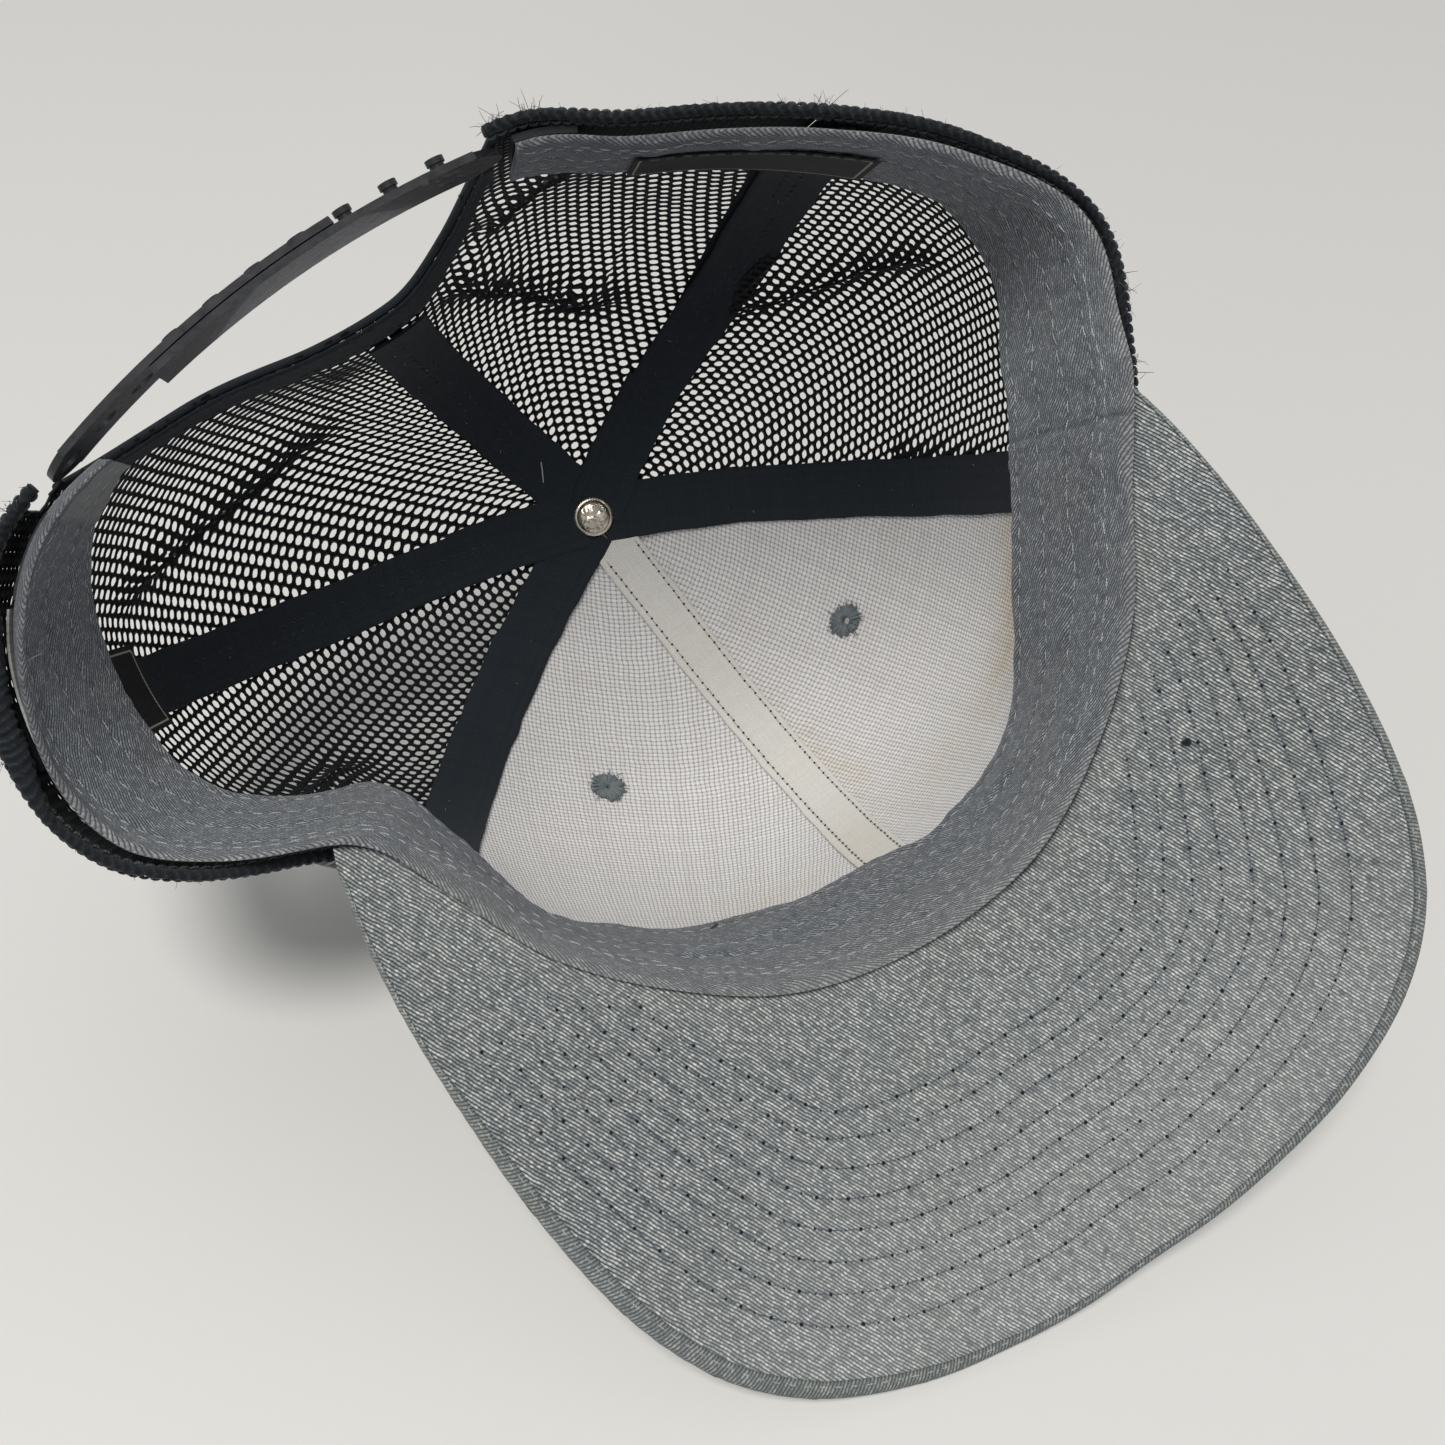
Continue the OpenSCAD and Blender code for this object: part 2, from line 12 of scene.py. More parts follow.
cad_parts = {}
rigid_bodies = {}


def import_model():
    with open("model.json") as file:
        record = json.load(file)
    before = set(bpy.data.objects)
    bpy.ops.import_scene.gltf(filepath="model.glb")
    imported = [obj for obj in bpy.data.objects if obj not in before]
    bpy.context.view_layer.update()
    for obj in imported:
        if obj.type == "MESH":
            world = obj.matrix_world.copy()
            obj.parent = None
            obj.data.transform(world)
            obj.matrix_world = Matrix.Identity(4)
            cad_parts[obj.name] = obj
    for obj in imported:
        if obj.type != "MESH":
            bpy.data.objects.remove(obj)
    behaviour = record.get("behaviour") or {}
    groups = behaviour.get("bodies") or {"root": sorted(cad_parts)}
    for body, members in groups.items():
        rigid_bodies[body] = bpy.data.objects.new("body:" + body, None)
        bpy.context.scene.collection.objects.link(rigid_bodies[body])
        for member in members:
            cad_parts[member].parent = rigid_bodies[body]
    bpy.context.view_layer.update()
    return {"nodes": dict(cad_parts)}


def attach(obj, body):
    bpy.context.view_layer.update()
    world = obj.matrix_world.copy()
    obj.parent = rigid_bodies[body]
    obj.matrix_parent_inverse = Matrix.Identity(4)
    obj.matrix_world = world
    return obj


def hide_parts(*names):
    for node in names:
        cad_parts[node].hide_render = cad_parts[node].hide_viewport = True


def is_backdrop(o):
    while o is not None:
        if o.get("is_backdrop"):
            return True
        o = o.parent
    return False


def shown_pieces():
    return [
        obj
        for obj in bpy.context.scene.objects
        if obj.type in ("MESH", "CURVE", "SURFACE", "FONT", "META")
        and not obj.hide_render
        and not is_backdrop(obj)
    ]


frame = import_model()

RNG = np.random.default_rng(7)
DEG = math.pi / 180

# ---------------------------------------------------------------- sizes of the cap
CROWN_H, BUTTON_Y = 114.0, 5.0
# radii every 15 degrees from angle 0: crown at the rim, crown at the shoulder, sweatband's free edge
RIM = [109.5, 115.5, 108.5, 86, 74, 70, 68, 68.6, 66.2, 69.4, 76.4, 86.2,
       95.2, 90.9, 88, 91, 94, 97, 96, 93, 87, 82, 77.0, 80.5]
SHOULDER = [106, 112, 106, 90, 72, 64, 65, 69, 71, 75, 82, 90,
            94, 92, 90, 92, 94, 95, 94, 92, 88, 85, 84, 94]
BAND = [94, 100.5, 99.5, 88, 74, 66, 65, 66.2, 66.6, 69.5, 75.5, 84.5,
        84.5, 77.0, 75.4, 78.3, 86.4, 88.6, 84.4, 84.3, 83.2, 79, 71.5, 71.5]
# left back, back centre, right back, right front, front centre, left front
SEAM = [13, 71, 147.5, 208.7, 265.2, 330]
VISOR_STACK, HEM_Z = 4.05, 3.2
TAPE_IN, TAPE_T = 1.35, 0.6  # tapes: distance inside the crown's surface, thickness
BAND_H, BAND_T = 32.0, 1.2
# back opening: angle of its left end, top and right end; height
OPEN_L, OPEN_C, OPEN_R, OPEN_H = 33.5, 70.0, 101.0, 53.8
TILT = -6.5 * DEG
ROW_TURN = np.array([[1, 0, 0],
                     [0, math.cos(TILT), -math.sin(TILT)],
                     [0, math.sin(TILT), math.cos(TILT)]])


# ---------------------------------------------------------------- small tools
def arr(x):
    return np.asarray(x, float)


def ease(x):
    """smooth step from 0 to 1"""
    t = np.clip(x, 0, 1)
    return t * t * (3 - 2 * t)


def bell(x, width):
    return np.exp(-((x / width) ** 2))


def round_off(x, least=0):
    """quarter circle: 1 at x = 0, falling to least at x = 1"""
    return np.sqrt(np.clip(1 - np.clip(x, 0, 1) ** 2, least, 1))


def signed_power(x, power):
    return np.sign(x) * np.abs(x) ** power


def xyz(x, y=0, z=0):
    """three values, broadcast together, as one array of triples"""
    return np.stack(np.broadcast_arrays(arr(x), arr(y), arr(z)), -1)


def polar(radius, angle, z=0):
    """point at a distance from the button's axis"""
    angle = arr(angle) * DEG
    return xyz(radius * np.cos(angle), radius * np.sin(angle) + BUTTON_Y, z)


def angle_of(points):
    return np.degrees(np.arctan2(points[..., 1] - BUTTON_Y, points[..., 0])) % 360


def radius_of(points):
    return np.hypot(points[..., 0], points[..., 1] - BUTTON_Y)


def turn(width, radius, degrees=57.3):
    """angle spanned by a width at a radius, with a rounded radian"""
    return width / radius * degrees


def unit(v):
    return v / np.maximum(np.linalg.norm(v, axis=-1, keepdims=True), 1e-9)


def arc(points, weight=1):
    """running length down the first axis of a row or grid of points"""
    steps = np.linalg.norm(np.diff(points, axis=0), axis=-1) * weight
    return np.concatenate([np.zeros_like(steps[:1]), np.cumsum(steps, axis=0)])


def interp_rows(at, stations, table):
    return np.stack([np.interp(at, stations, column) for column in table.T], -1)


def march(path, step, start=0.0):
    """points, unit tangents and running lengths at equal steps along a path"""
    path = arr(path)
    lengths = arc(path)
    end = lengths[-1]
    q = start + (np.arange(max(int((end - start) / step), 1)) + 0.5) * step
    q = q[q < end]
    reach = 0.3
    ahead = interp_rows(np.minimum(q + reach, end), lengths, path)
    behind = interp_rows(np.maximum(q - reach, 0), lengths, path)
    return interp_rows(q, lengths, path), unit(ahead - behind), q


def nearest(points, curve, step=1):
    """squared distance to the nearest curve point, and its index"""
    best = np.full(len(points), 1e9)
    which = np.zeros(len(points), int)
    for k in range(0, len(curve), step):
        d2 = ((points - curve[k]) ** 2).sum(1)
        closer = d2 < best
        best[closer] = d2[closer]
        which[closer] = k
    return best, which


def catmull(a, b, c, d, t):
    return 0.5 * (2 * b + (c - a) * t + (2 * a - 5 * b + 4 * c - d) * t * t
                  + (3 * b - a - 3 * c + d) * t**3)


def at_angle(radii, angle):
    """smooth value from a table of 24 radii"""
    v = arr(radii)
    w = (arr(angle) % 360) / 15
    i = np.floor(w).astype(int) % 24
    return catmull(v[(i - 1) % 24], v[i], v[(i + 1) % 24], v[(i + 2) % 24], w - np.floor(w))


def ripple(x, y, seed=0):
    """smooth value noise in -1..1, the same each run"""
    x, y = np.broadcast_arrays(arr(x), arr(y))
    i, j = np.floor(x).astype(np.int64), np.floor(y).astype(np.int64)
    u, v = ease(x - i), ease(y - j)

    def corner(a, b):
        n = (a * 374761393 + b * 668265263 + seed * 1274126177) & 0x7FFFFFFF
        n = ((n ^ (n >> 13)) * 1274126177) & 0x7FFFFFFF
        return ((n ^ (n >> 16)) & 0xFFFF) / 32767.5 - 1

    near = corner(i, j) * (1 - u) + corner(i + 1, j) * u
    far = corner(i, j + 1) * (1 - u) + corner(i + 1, j + 1) * u
    return near * (1 - v) + far * v


def to_row(points):
    return (arr(points).reshape(-1, 3) @ ROW_TURN.T) * 0.001


# ---------------------------------------------------------------- surfaces of the cap
# A place on the crown is an angle, a foot height and a climb from 0 at the foot to 1 at the top.
def visor_height(plan):
    x, y = plan[..., 0], plan[..., 1]
    return 5 - math.tan(14 * DEG) * (-y - 88) - x * x / 292.0


def on_visor(plan, offset):
    return xyz(plan[..., 0], plan[..., 1], visor_height(plan) + offset)


def visor_share(angle):
    """1 where the rim follows the visor, 0 elsewhere"""
    t = arr(angle) % 360
    return ease((t - 188) / 9) * ease((356 - t) / 9)


def rim_plan(angle, offset=0.0):
    return polar(at_angle(RIM, angle) + offset, angle)[..., :2]


def base_z(angle):
    return visor_share(angle) * (visor_height(rim_plan(angle)) + VISOR_STACK)


def band_z(angle):
    share = visor_share(angle)
    return share * (visor_height(rim_plan(angle)) - 0.4) - 0.6 * (1 - share)


def dome_power(angle):
    return 2.85 - 0.45 * np.sin(arr(angle) * DEG)


def radius_at(angle, z):
    base = base_z(angle)
    k = np.clip((z - base) / (CROWN_H - base), 0, 0.99999)
    n = dome_power(angle)
    up = ease(np.maximum(z, 0) / 60)
    side = at_angle(RIM, angle) * (1 - up) + at_angle(SHOULDER, angle) * up
    return side * (1 - k**n) ** (1 / n)


def height_at(angle, foot, climb):
    base = base_z(angle)
    height = CROWN_H - base
    n = dome_power(angle)
    first = np.arcsin(np.clip((foot - base) / height, 0, 1) ** (n / 2))
    sweep = np.sin(first + (math.pi / 2 - first) * np.clip(climb, 0, 1))
    return base + height * np.maximum(sweep, 0) ** (2 / n)


def crown_point(angle, foot, climb):
    z = height_at(angle, foot, climb)
    return polar(radius_at(angle, z), angle, z)


def skin_normal(angle, foot, climb):
    angle, foot, climb = np.broadcast_arrays(arr(angle), arr(foot), arr(climb))
    t = np.minimum(climb, 0.985)
    across = crown_point(angle + 0.8, foot, t) - crown_point(angle - 0.8, foot, t)
    up = crown_point(angle, foot, t + 0.01) - crown_point(angle, foot, t - 0.01)
    return unit(np.cross(across, up))


def skin(angle, foot, climb, out=0.0):
    """point standing off the crown by out"""
    angle, foot, climb, out = np.broadcast_arrays(arr(angle), arr(foot), arr(climb), arr(out))
    return crown_point(angle, foot, climb) + skin_normal(angle, foot, climb) * out[..., None]


def climb_for_radius(angle, foot, radius, lowest=0.5, halvings=22):
    low, high = np.full(np.shape(angle), lowest), np.full(np.shape(angle), 1.0)
    for _ in range(halvings):
        mid = (low + high) / 2
        wide = radius_at(angle, height_at(angle, foot, mid)) > radius
        low = np.where(wide, mid, low)
        high = np.where(wide, high, mid)
    return (low + high) / 2


def climb_rows(angle, foot, stop, least, count, power):
    """rows of climbs up to the radius stop, closer together at the top, and their radii"""
    i = np.linspace(0, 1, count)[:, None]
    climb = climb_for_radius(angle, foot, stop) * (1 - (1 - i) ** power)
    return climb, np.maximum(radius_at(angle, height_at(angle, foot, climb)), least)


def arch(angle):
    """height of the back opening's edge, -1 outside it"""
    angle = arr(angle)
    u = np.where(angle < OPEN_C, (OPEN_C - angle) / (OPEN_C - OPEN_L),
                 (angle - OPEN_C) / (OPEN_R - OPEN_C))
    return np.where(u >= 1, -1.0, OPEN_H * np.maximum(1 - np.minimum(u, 1) ** 3.1, 0) ** 0.55)


def lower_edge(angle):
    return np.maximum(HEM_Z + base_z(angle), arch(angle))


def band_point(angle, f, out=0.0):
    """point on the sweatband, f from 0 at the rim to 1 at the free edge"""
    angle, f, out = np.broadcast_arrays(arr(angle), arr(f), arr(out))
    root = at_angle(RIM, angle) - 3.3
    radius = root + (np.minimum(at_angle(BAND, angle), root) - root) * np.maximum(f, 0) ** 1.15
    dip = 1 - 0.22 * bell(angle - 126, 20)
    return polar(radius + out, angle, band_z(angle) + BAND_H * f * dip)


# ---------------------------------------------------------------- mesh building
class Part:
    """Collects vertices, faces, fabric coordinates (wv) and shading channels (aux)."""

    def __init__(self):
        self.points, self.faces, self.cloth, self.aux, self.slots = [], [], [], [], []
        self.count = 0

    def add(self, points, faces, cloth=None, aux=None, mat=0):
        points = arr(points).reshape(-1, 3)
        self.points.append(points)
        self.cloth.append(points if cloth is None else arr(cloth).reshape(-1, 3))
        self.aux.append(np.zeros(points.shape) if aux is None else arr(aux).reshape(-1, 3))
        for group in faces if isinstance(faces, list) else [faces]:
            self.faces.append(np.asarray(group, int) + self.count)
            self.slots.append(np.full(len(group), mat))
        self.count += len(points)

    def build(self, name, mats, replaces=None, slot=None, sharp=None, body="crown"):
        points = to_row(np.concatenate(self.points))
        mesh = bpy.data.meshes.new(name)
        mesh.vertices.add(len(points))
        mesh.vertices.foreach_set("co", points.astype(np.float32).ravel())
        sizes = np.concatenate([np.full(len(f), f.shape[1]) for f in self.faces])
        corners = np.concatenate([f.ravel() for f in self.faces])
        mesh.loops.add(len(corners))
        mesh.loops.foreach_set("vertex_index", corners.astype(np.int32))
        mesh.polygons.add(len(sizes))
        starts = np.concatenate([[0], np.cumsum(sizes)[:-1]])
        mesh.polygons.foreach_set("loop_start", starts.astype(np.int32))
        for mat in mats:
            mesh.materials.append(mat)
        mesh.polygons.foreach_set("material_index", np.concatenate(self.slots).astype(np.int32))
        mesh.update(calc_edges=True)
        mesh.polygons.foreach_set("use_smooth", np.ones(len(sizes), bool))
        for label, values in (("wv", self.cloth), ("aux", self.aux)):
            layer = mesh.attributes.new(label, "FLOAT_VECTOR", "POINT")
            layer.data.foreach_set("vector", np.concatenate(values).astype(np.float32).ravel())
        if sharp:
            mesh.set_sharp_from_angle(angle=sharp * DEG)
        mesh.validate()
        item = bpy.data.objects.new(name, mesh)
        bpy.context.scene.collection.objects.link(item)
        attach(item, body)
        if replaces:
            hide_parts(replaces)


def walls(edges, count):
    """faces joining two sheets along the directed edges that no neighbour shares"""
    key = edges[:, 0] * count + edges[:, 1]
    back = edges[:, 1] * count + edges[:, 0]
    a, b = edges[~np.isin(key, back)].T
    return np.stack([b, a, a + count, b + count], -1)


def shell(part, outer, inner, cloth, keep=None, aux=None, mat=0):
    """closed sheet between two grids of points"""
    rows, cols = outer.shape[:2]
    count = rows * cols
    i, j = np.meshgrid(np.arange(rows - 1), np.arange(cols - 1), indexing="ij")
    a = i * cols + j
    quads = np.stack([a, a + 1, a + cols + 1, a + cols], -1).reshape(-1, 4)
    if keep is not None:
        quads = quads[keep.reshape(-1)]
    edges = np.concatenate([quads[:, [k, (k + 1) % 4]] for k in range(4)])
    faces = np.concatenate([quads, quads[:, ::-1] + count, walls(edges, count)])
    used = np.unique(faces)
    renumber = np.full(2 * count, -1)
    renumber[used] = np.arange(len(used))
    points = np.concatenate([outer.reshape(-1, 3), inner.reshape(-1, 3)])
    cloth = np.concatenate([cloth.reshape(-1, 3)] * 2)
    if aux is not None:
        aux = np.concatenate([aux.reshape(-1, 3)] * 2)[used]
    part.add(points[used], renumber[faces], cloth[used], aux, mat)


def wrap_faces(rows, sides):
    """quads between successive closed rings of vertices"""
    i, j = np.meshgrid(np.arange(rows - 1), np.arange(sides), indexing="ij")
    a = i * sides + j
    b = i * sides + (j + 1) % sides
    return np.stack([a, a + sides, b + sides, b], -1).reshape(-1, 4)


def end_fans(rows, sides):
    """triangles closing the first and last ring"""
    fan = np.array([[0, k, k + 1] for k in range(1, sides - 1)])
    return np.concatenate([fan, fan[:, [0, 2, 1]] + (rows - 1) * sides])


HEX_CAP = np.array([[0, 1, 4, 5], [1, 2, 3, 4]])


def copies(faces, count, size):
    """the same faces for each of count pieces of size vertices"""
    return (faces[None] + (np.arange(count) * size)[:, None, None]).reshape(-1, 4)


def stitches(part, centres, along, normals, length, radius, dip=1.2, mat=0):
    """short thread lengths whose ends dip into the cloth"""
    centres, along, normals = arr(centres), arr(along), arr(normals)
    normals = unit(normals - along * (normals * along).sum(-1, keepdims=True))
    n, sides = len(centres), 6
    length, radius = np.broadcast_to(arr(length), n), np.broadcast_to(arr(radius), n)
    stations = np.array([-1, -0.82, -0.35, 0.35, 0.82, 1])
    swell = np.array([0.25, 0.8, 1, 1, 0.8, 0.25])
    ang = np.arange(sides) / sides * 2 * math.pi
    cos, sin = np.cos(ang)[:, None], np.sin(ang)[:, None]
    place, swell = stations[:, None, None], swell[:, None, None]
    C, T, N, S = (v[:, None, None] for v in (centres, along, normals, np.cross(along, normals)))
    L, R = (v[:, None, None, None] for v in (length, radius))
    points = C + T * (place * L / 2) + N * (-(place**2) * R * dip) + (N * cos + S * sin) * (swell * R)
    size = len(stations) * sides
    faces = np.concatenate([wrap_faces(6, sides)[:, ::-1], HEX_CAP, HEX_CAP[:, ::-1] + size - sides])
    piece = np.repeat(np.arange(n), size)
    u = np.tile(np.repeat(stations, sides), n) * np.repeat(length / 2, size)
    tone = RNG.random(n)[piece]
    part.add(points, copies(faces, n, size), xyz(u, piece * 1.7, tone * 10), xyz(tone), mat)


def tube(part, path, radius, sides=6, mat=0, up=(0.13, 0.27, 0.95), aux=None):
    """thread along one path"""
    path = arr(path)
    n = len(path)
    along = unit(np.gradient(path, axis=0))
    across = unit(np.cross(along, arr(up)))
    rise = np.cross(across, along)
    ang = np.arange(sides) / sides * 2 * math.pi
    spokes = rise[:, None] * np.cos(ang)[:, None] + across[:, None] * np.sin(ang)[:, None]
    points = path[:, None] + spokes * np.broadcast_to(radius, (n,))[:, None, None]
    girth = ang * (radius if np.ndim(radius) == 0 else 0.3)
    cloth = xyz(np.repeat(arc(path), sides), np.tile(girth, n))
    faces = [wrap_faces(n, sides)[:, [1, 2, 3, 0]], end_fans(n, sides)]
    part.add(points, faces, cloth, None if aux is None else np.tile(aux, (n * sides, 1)), mat)


def knots(part, centres, normals, radius, height, mat=0):
    """small flattened knots"""
    centres = arr(centres)
    n, sides = len(centres), 6
    normals = np.broadcast_to(unit(arr(normals)), centres.shape)
    side = unit(np.cross(normals, [0.3, 0.5, 0.81]))
    T, S, N, C = (v[:, None, None] for v in (side, np.cross(normals, side), normals, centres))
    level = np.array([-0.3, 0.35, 0.9])[:, None, None]
    ang = np.arange(sides) / sides * 2 * math.pi
    R = np.broadcast_to(arr(radius), n)[:, None, None, None]
    spokes = T * np.cos(ang)[:, None] + S * np.sin(ang)[:, None]
    points = C + spokes * (np.sqrt(1 - level**2 * 0.98) * R) + N * (level * height)
    faces = np.concatenate([wrap_faces(3, sides)[:, [0, 3, 2, 1]],
                            HEX_CAP + 2 * sides, HEX_CAP[:, ::-1]])
    part.add(points, copies(faces, n, 3 * sides), mat=mat)


# ---------------------------------------------------------------- material tools
def srgb(r, g, b):
    return tuple(((c / 255 + 0.055) / 1.055) ** 2.4 if c > 10 else c / 255 / 12.92
                 for c in (r, g, b))


class Value:
    """A shader output that can be used in arithmetic."""

    def __init__(self, mat, socket):
        self.mat, self.socket = mat, socket

    def __add__(self, other):
        return self.mat.math("ADD", self, other)

    def __radd__(self, other):
        return self.mat.math("ADD", other, self)

    def __rsub__(self, other):
        return self.mat.math("SUBTRACT", other, self)

    def __sub__(self, other):
        return self.mat.math("SUBTRACT", self, other)

    def __mul__(self, other):
        return self.mat.math("MULTIPLY", self, other)

    def __truediv__(self, other):
        return self.mat.math("DIVIDE", self, other)


class Mat:
    def __init__(self, name):
        self.material = bpy.data.materials.new(name)
        self.material.use_nodes = True
        self.tree = self.material.node_tree
        self.tree.nodes.clear()
        self.out = self.make("OutputMaterial")
        self.bsdf = self.make("BsdfPrincipled")
        self.put(self.out.inputs[0], Value(self, self.bsdf.outputs[0]))

    def put(self, socket, value):
        if isinstance(value, Value):
            self.tree.links.new(value.socket, socket)
        elif value is not None:
            if hasattr(value, "__len__") and len(socket.default_value) == 4:
                value = (*value, 1)
            socket.default_value = value

    def make(self, kind, inputs=(), **props):
        node = self.tree.nodes.new("ShaderNode" + kind)
        for key, value in props.items():
            setattr(node, key, value)
        for key, value in dict(inputs).items():
            self.put(node.inputs[key], value)
        return node

    def node(self, kind, inputs=(), output=0, **props):
        return Value(self, self.make(kind, inputs, **props).outputs[output])

    def math(self, operation, a, b=None):
        return self.node("Math", {0: a, 1: b}, operation=operation)

    def sine(self, x):
        return self.math("SINE", x)

    def floor(self, x):
        return self.math("FLOOR", x)

    def split(self, x):
        """whole part and the rest"""
        whole = self.floor(x)
        return whole, x - whole

    def hump(self, x):
        """0 at 0 and 1, 1 half way"""
        return self.sine(x * math.pi)

    def attr(self, name):
        return self.node("Attribute", output="Vector", attribute_name=name)

    def object_coords(self):
        return self.node("TexCoord", output="Object")

    def sep(self, vector):
        node = self.make("SeparateXYZ", {0: vector})
        return [Value(self, output) for output in node.outputs]

    def comb(self, x, y, z=0.0):
        return self.node("CombineXYZ", {0: x, 1: y, 2: z})

    def noise(self, at, scale, detail=2.0, rough=0.5):
        settings = {"Vector": at, "Scale": scale, "Detail": detail, "Roughness": rough,
                    "Distortion": 0.0}
        return self.node("TexNoise", settings, "Fac")

    def white(self, x, y=0.0):
        inputs = {"Vector": self.comb(x, y)}
        return self.node("TexWhiteNoise", inputs, "Value", noise_dimensions="2D")

    def ramp(self, factor, stops):
        node = self.make("ValToRGB", {0: factor})
        elements = node.color_ramp.elements
        while len(elements) < len(stops):
            elements.new(0.5)
        for element, (position, color) in zip(elements, stops):
            element.position = position
            element.color = (*srgb(*color), 1)
        return Value(self, node.outputs[0])

    def mix(self, factor, a, b, mode="MIX"):
        return self.node("Mix", {0: factor, 6: a, 7: b}, 2, data_type="RGBA", blend_type=mode)

    def remap(self, value, low, high, to_low=0.0, to_high=1.0):
        inputs = {0: value, 1: low, 2: high, 3: to_low, 4: to_high}
        return self.node("MapRange", inputs, clamp=True)

    def bump(self, height, distance, strength=1.0, normal=None):
        return self.node("Bump", {"Strength": strength, "Distance": distance,
                                  "Height": height, "Normal": normal})

    def done(self, color, rough=0.8, normal=None, sheen=0.0, metal=0.0, spec=None,
             sheen_tint=None, coat=0.0):
        settings = {"Base Color": color, "Roughness": rough, "Metallic": metal, "Normal": normal,
                    "Sheen Weight": sheen, "Sheen Roughness": 0.5, "Sheen Tint": sheen_tint,
                    "Specular IOR Level": spec, "Coat Weight": coat}
        for key, value in settings.items():
            self.put(self.bsdf.inputs[key], value)
        return self.material


# ---------------------------------------------------------------- materials
# Colours are 0-255 triples. Tints that multiply (warm, stain, blotch) are linear factors.
# Fabric coordinates and pitches are millimetres; bump distances are metres unless noted.
def twill(name, gap, dark, mid, pale, angle, pitch, float_length, warm,
          bump=0.16, sheen=0.25, mixed=0.30, pale_tip=False):
    """ribs at an angle, thread floats of mixed shades, darker valleys; bump in millimetres"""
    M = Mat(name)
    gap, dark, mid_tone, pale = gap, dark, mid, pale
    cloth = M.attr("wv")
    u, v, w = M.sep(cloth)
    cos, sin = math.cos(angle * DEG), math.sin(angle * DEG)
    wobble = (M.noise(cloth, scale=0.2, detail=2) + -0.5) * 0.8
    along = u * cos + v * sin
    row, row_rest = M.split((u * -sin + v * cos + wobble) / pitch)
    rib = M.hump(row_rest)
    shift = row * 0.37 + M.white(row) * 0.35  # each row's floats start elsewhere
    piece, piece_rest = M.split(along / float_length + shift)
    crest = M.math("POWER", M.hump(piece_rest), 0.5)
    height = rib * (crest * 0.55 + 0.45)
    shade = M.white(row, piece)
    fine = M.noise(cloth, scale=2.6, detail=2, rough=0.6)
    yarn = M.noise(M.comb(along * 0.22, row * 3.1, w), scale=1.0, detail=2, rough=0.6)
    tone = shade * mixed + (fine * (0.78 - mixed) + yarn * 0.22)
    thread = M.ramp(tone, [(0.24, dark), (0.5, mid_tone), (0.76, pale)])
    visible = M.remap(height, 0.16, 0.80)
    color = M.mix(visible, srgb(*gap), thread)
    blotch = M.noise(cloth, scale=0.035, detail=3, rough=0.6)
    color = M.mix(M.remap(blotch, 0.42, 0.72) * 0.55, color, warm, "MULTIPLY")
    rubbed, shaded, tip_paling = M.sep(M.attr("aux"))
    color = M.mix(rubbed, color, M.mix(0.5, color, (0.42, 0.40, 0.36)))
    color = M.mix(shaded, color, (0.02, 0.028, 0.04))
    # paler towards the visor's tip
    if pale_tip:
        color = M.mix(tip_paling * 0.45, color, srgb(206, 207, 204))
    fleck = M.remap(M.white(M.floor(u * 0.9), M.floor(v * 0.9)), 0.985, 0.99)
    color = M.mix(fleck * (visible * 0.45), color, srgb(*gap))
    normal = M.bump(height, 0.001 * bump)
    fuzz = M.noise(cloth, scale=3.0, detail=3, rough=0.7)
    normal = M.bump(fuzz, distance=0.00006, strength=0.6, normal=normal)
    rough = M.remap(shade, 0, 1, to_low=0.72, to_high=0.95)
    return M.done(color, rough, normal, sheen, sheen_tint=(0.8, 0.85, 0.9), spec=0.25)


def weave(name, gap, dark, pale, pitch_u, pitch_v, stain=None, bump=0.1, sheen=0.1, closed=0.45,
          blotch=None, spec=0.25):
    """plain weave of crossing threads; above the height closed no gap shows; bump in millimetres"""
    M = Mat(name)
    cloth = M.attr("wv")
    u, v, _ = M.sep(cloth)
    wobble = (M.noise(cloth, scale=0.25, detail=2) + -0.5) * 0.7
    column, column_rest = M.split((u + wobble) / pitch_u)
    row, row_rest = M.split((v + wobble) / pitch_v)
    hump_u, hump_v = M.hump(column_rest), M.hump(row_rest)
    over = M.math("MODULO", M.math("ABSOLUTE", column + row), 2.0)
    warp = M.math("POWER", hump_u, 0.6) * (0.35 + over * hump_v * 0.65)
    weft = M.math("POWER", hump_v, 0.6) * (0.35 + (1.0 - over) * hump_u * 0.65)
    height = M.math("MAXIMUM", warp, weft)
    fine = M.noise(cloth, scale=2.2, detail=3, rough=0.7)
    tone = M.white(column, over * 7.0) * 0.20 + (M.white(row, 3.0) * 0.14 + fine * 0.76)
    thread = M.mix(M.remap(tone, 0.2, 0.9), srgb(*dark), srgb(*pale))
    color = M.mix(M.remap(height, 0.05, closed), srgb(*gap), thread)
    if blotch is not None:
        patches = M.noise(cloth, scale=0.05, detail=4, rough=0.6)
        color = M.mix(M.remap(patches, 0.45, 0.75) * 0.6, color, blotch, "MULTIPLY")
    stained, shaded, _ = M.sep(M.attr("aux"))
    if stain is not None:
        patches = M.noise(cloth, scale=0.25, detail=4, rough=0.7)
        color = M.mix(stained * M.remap(patches, 0.25, 0.7), color, stain, "MULTIPLY")
    color = M.mix(shaded, color, (0.03, 0.03, 0.03))
    return M.done(color, 0.85, M.bump(height, 0.001 * bump), sheen, spec=spec)


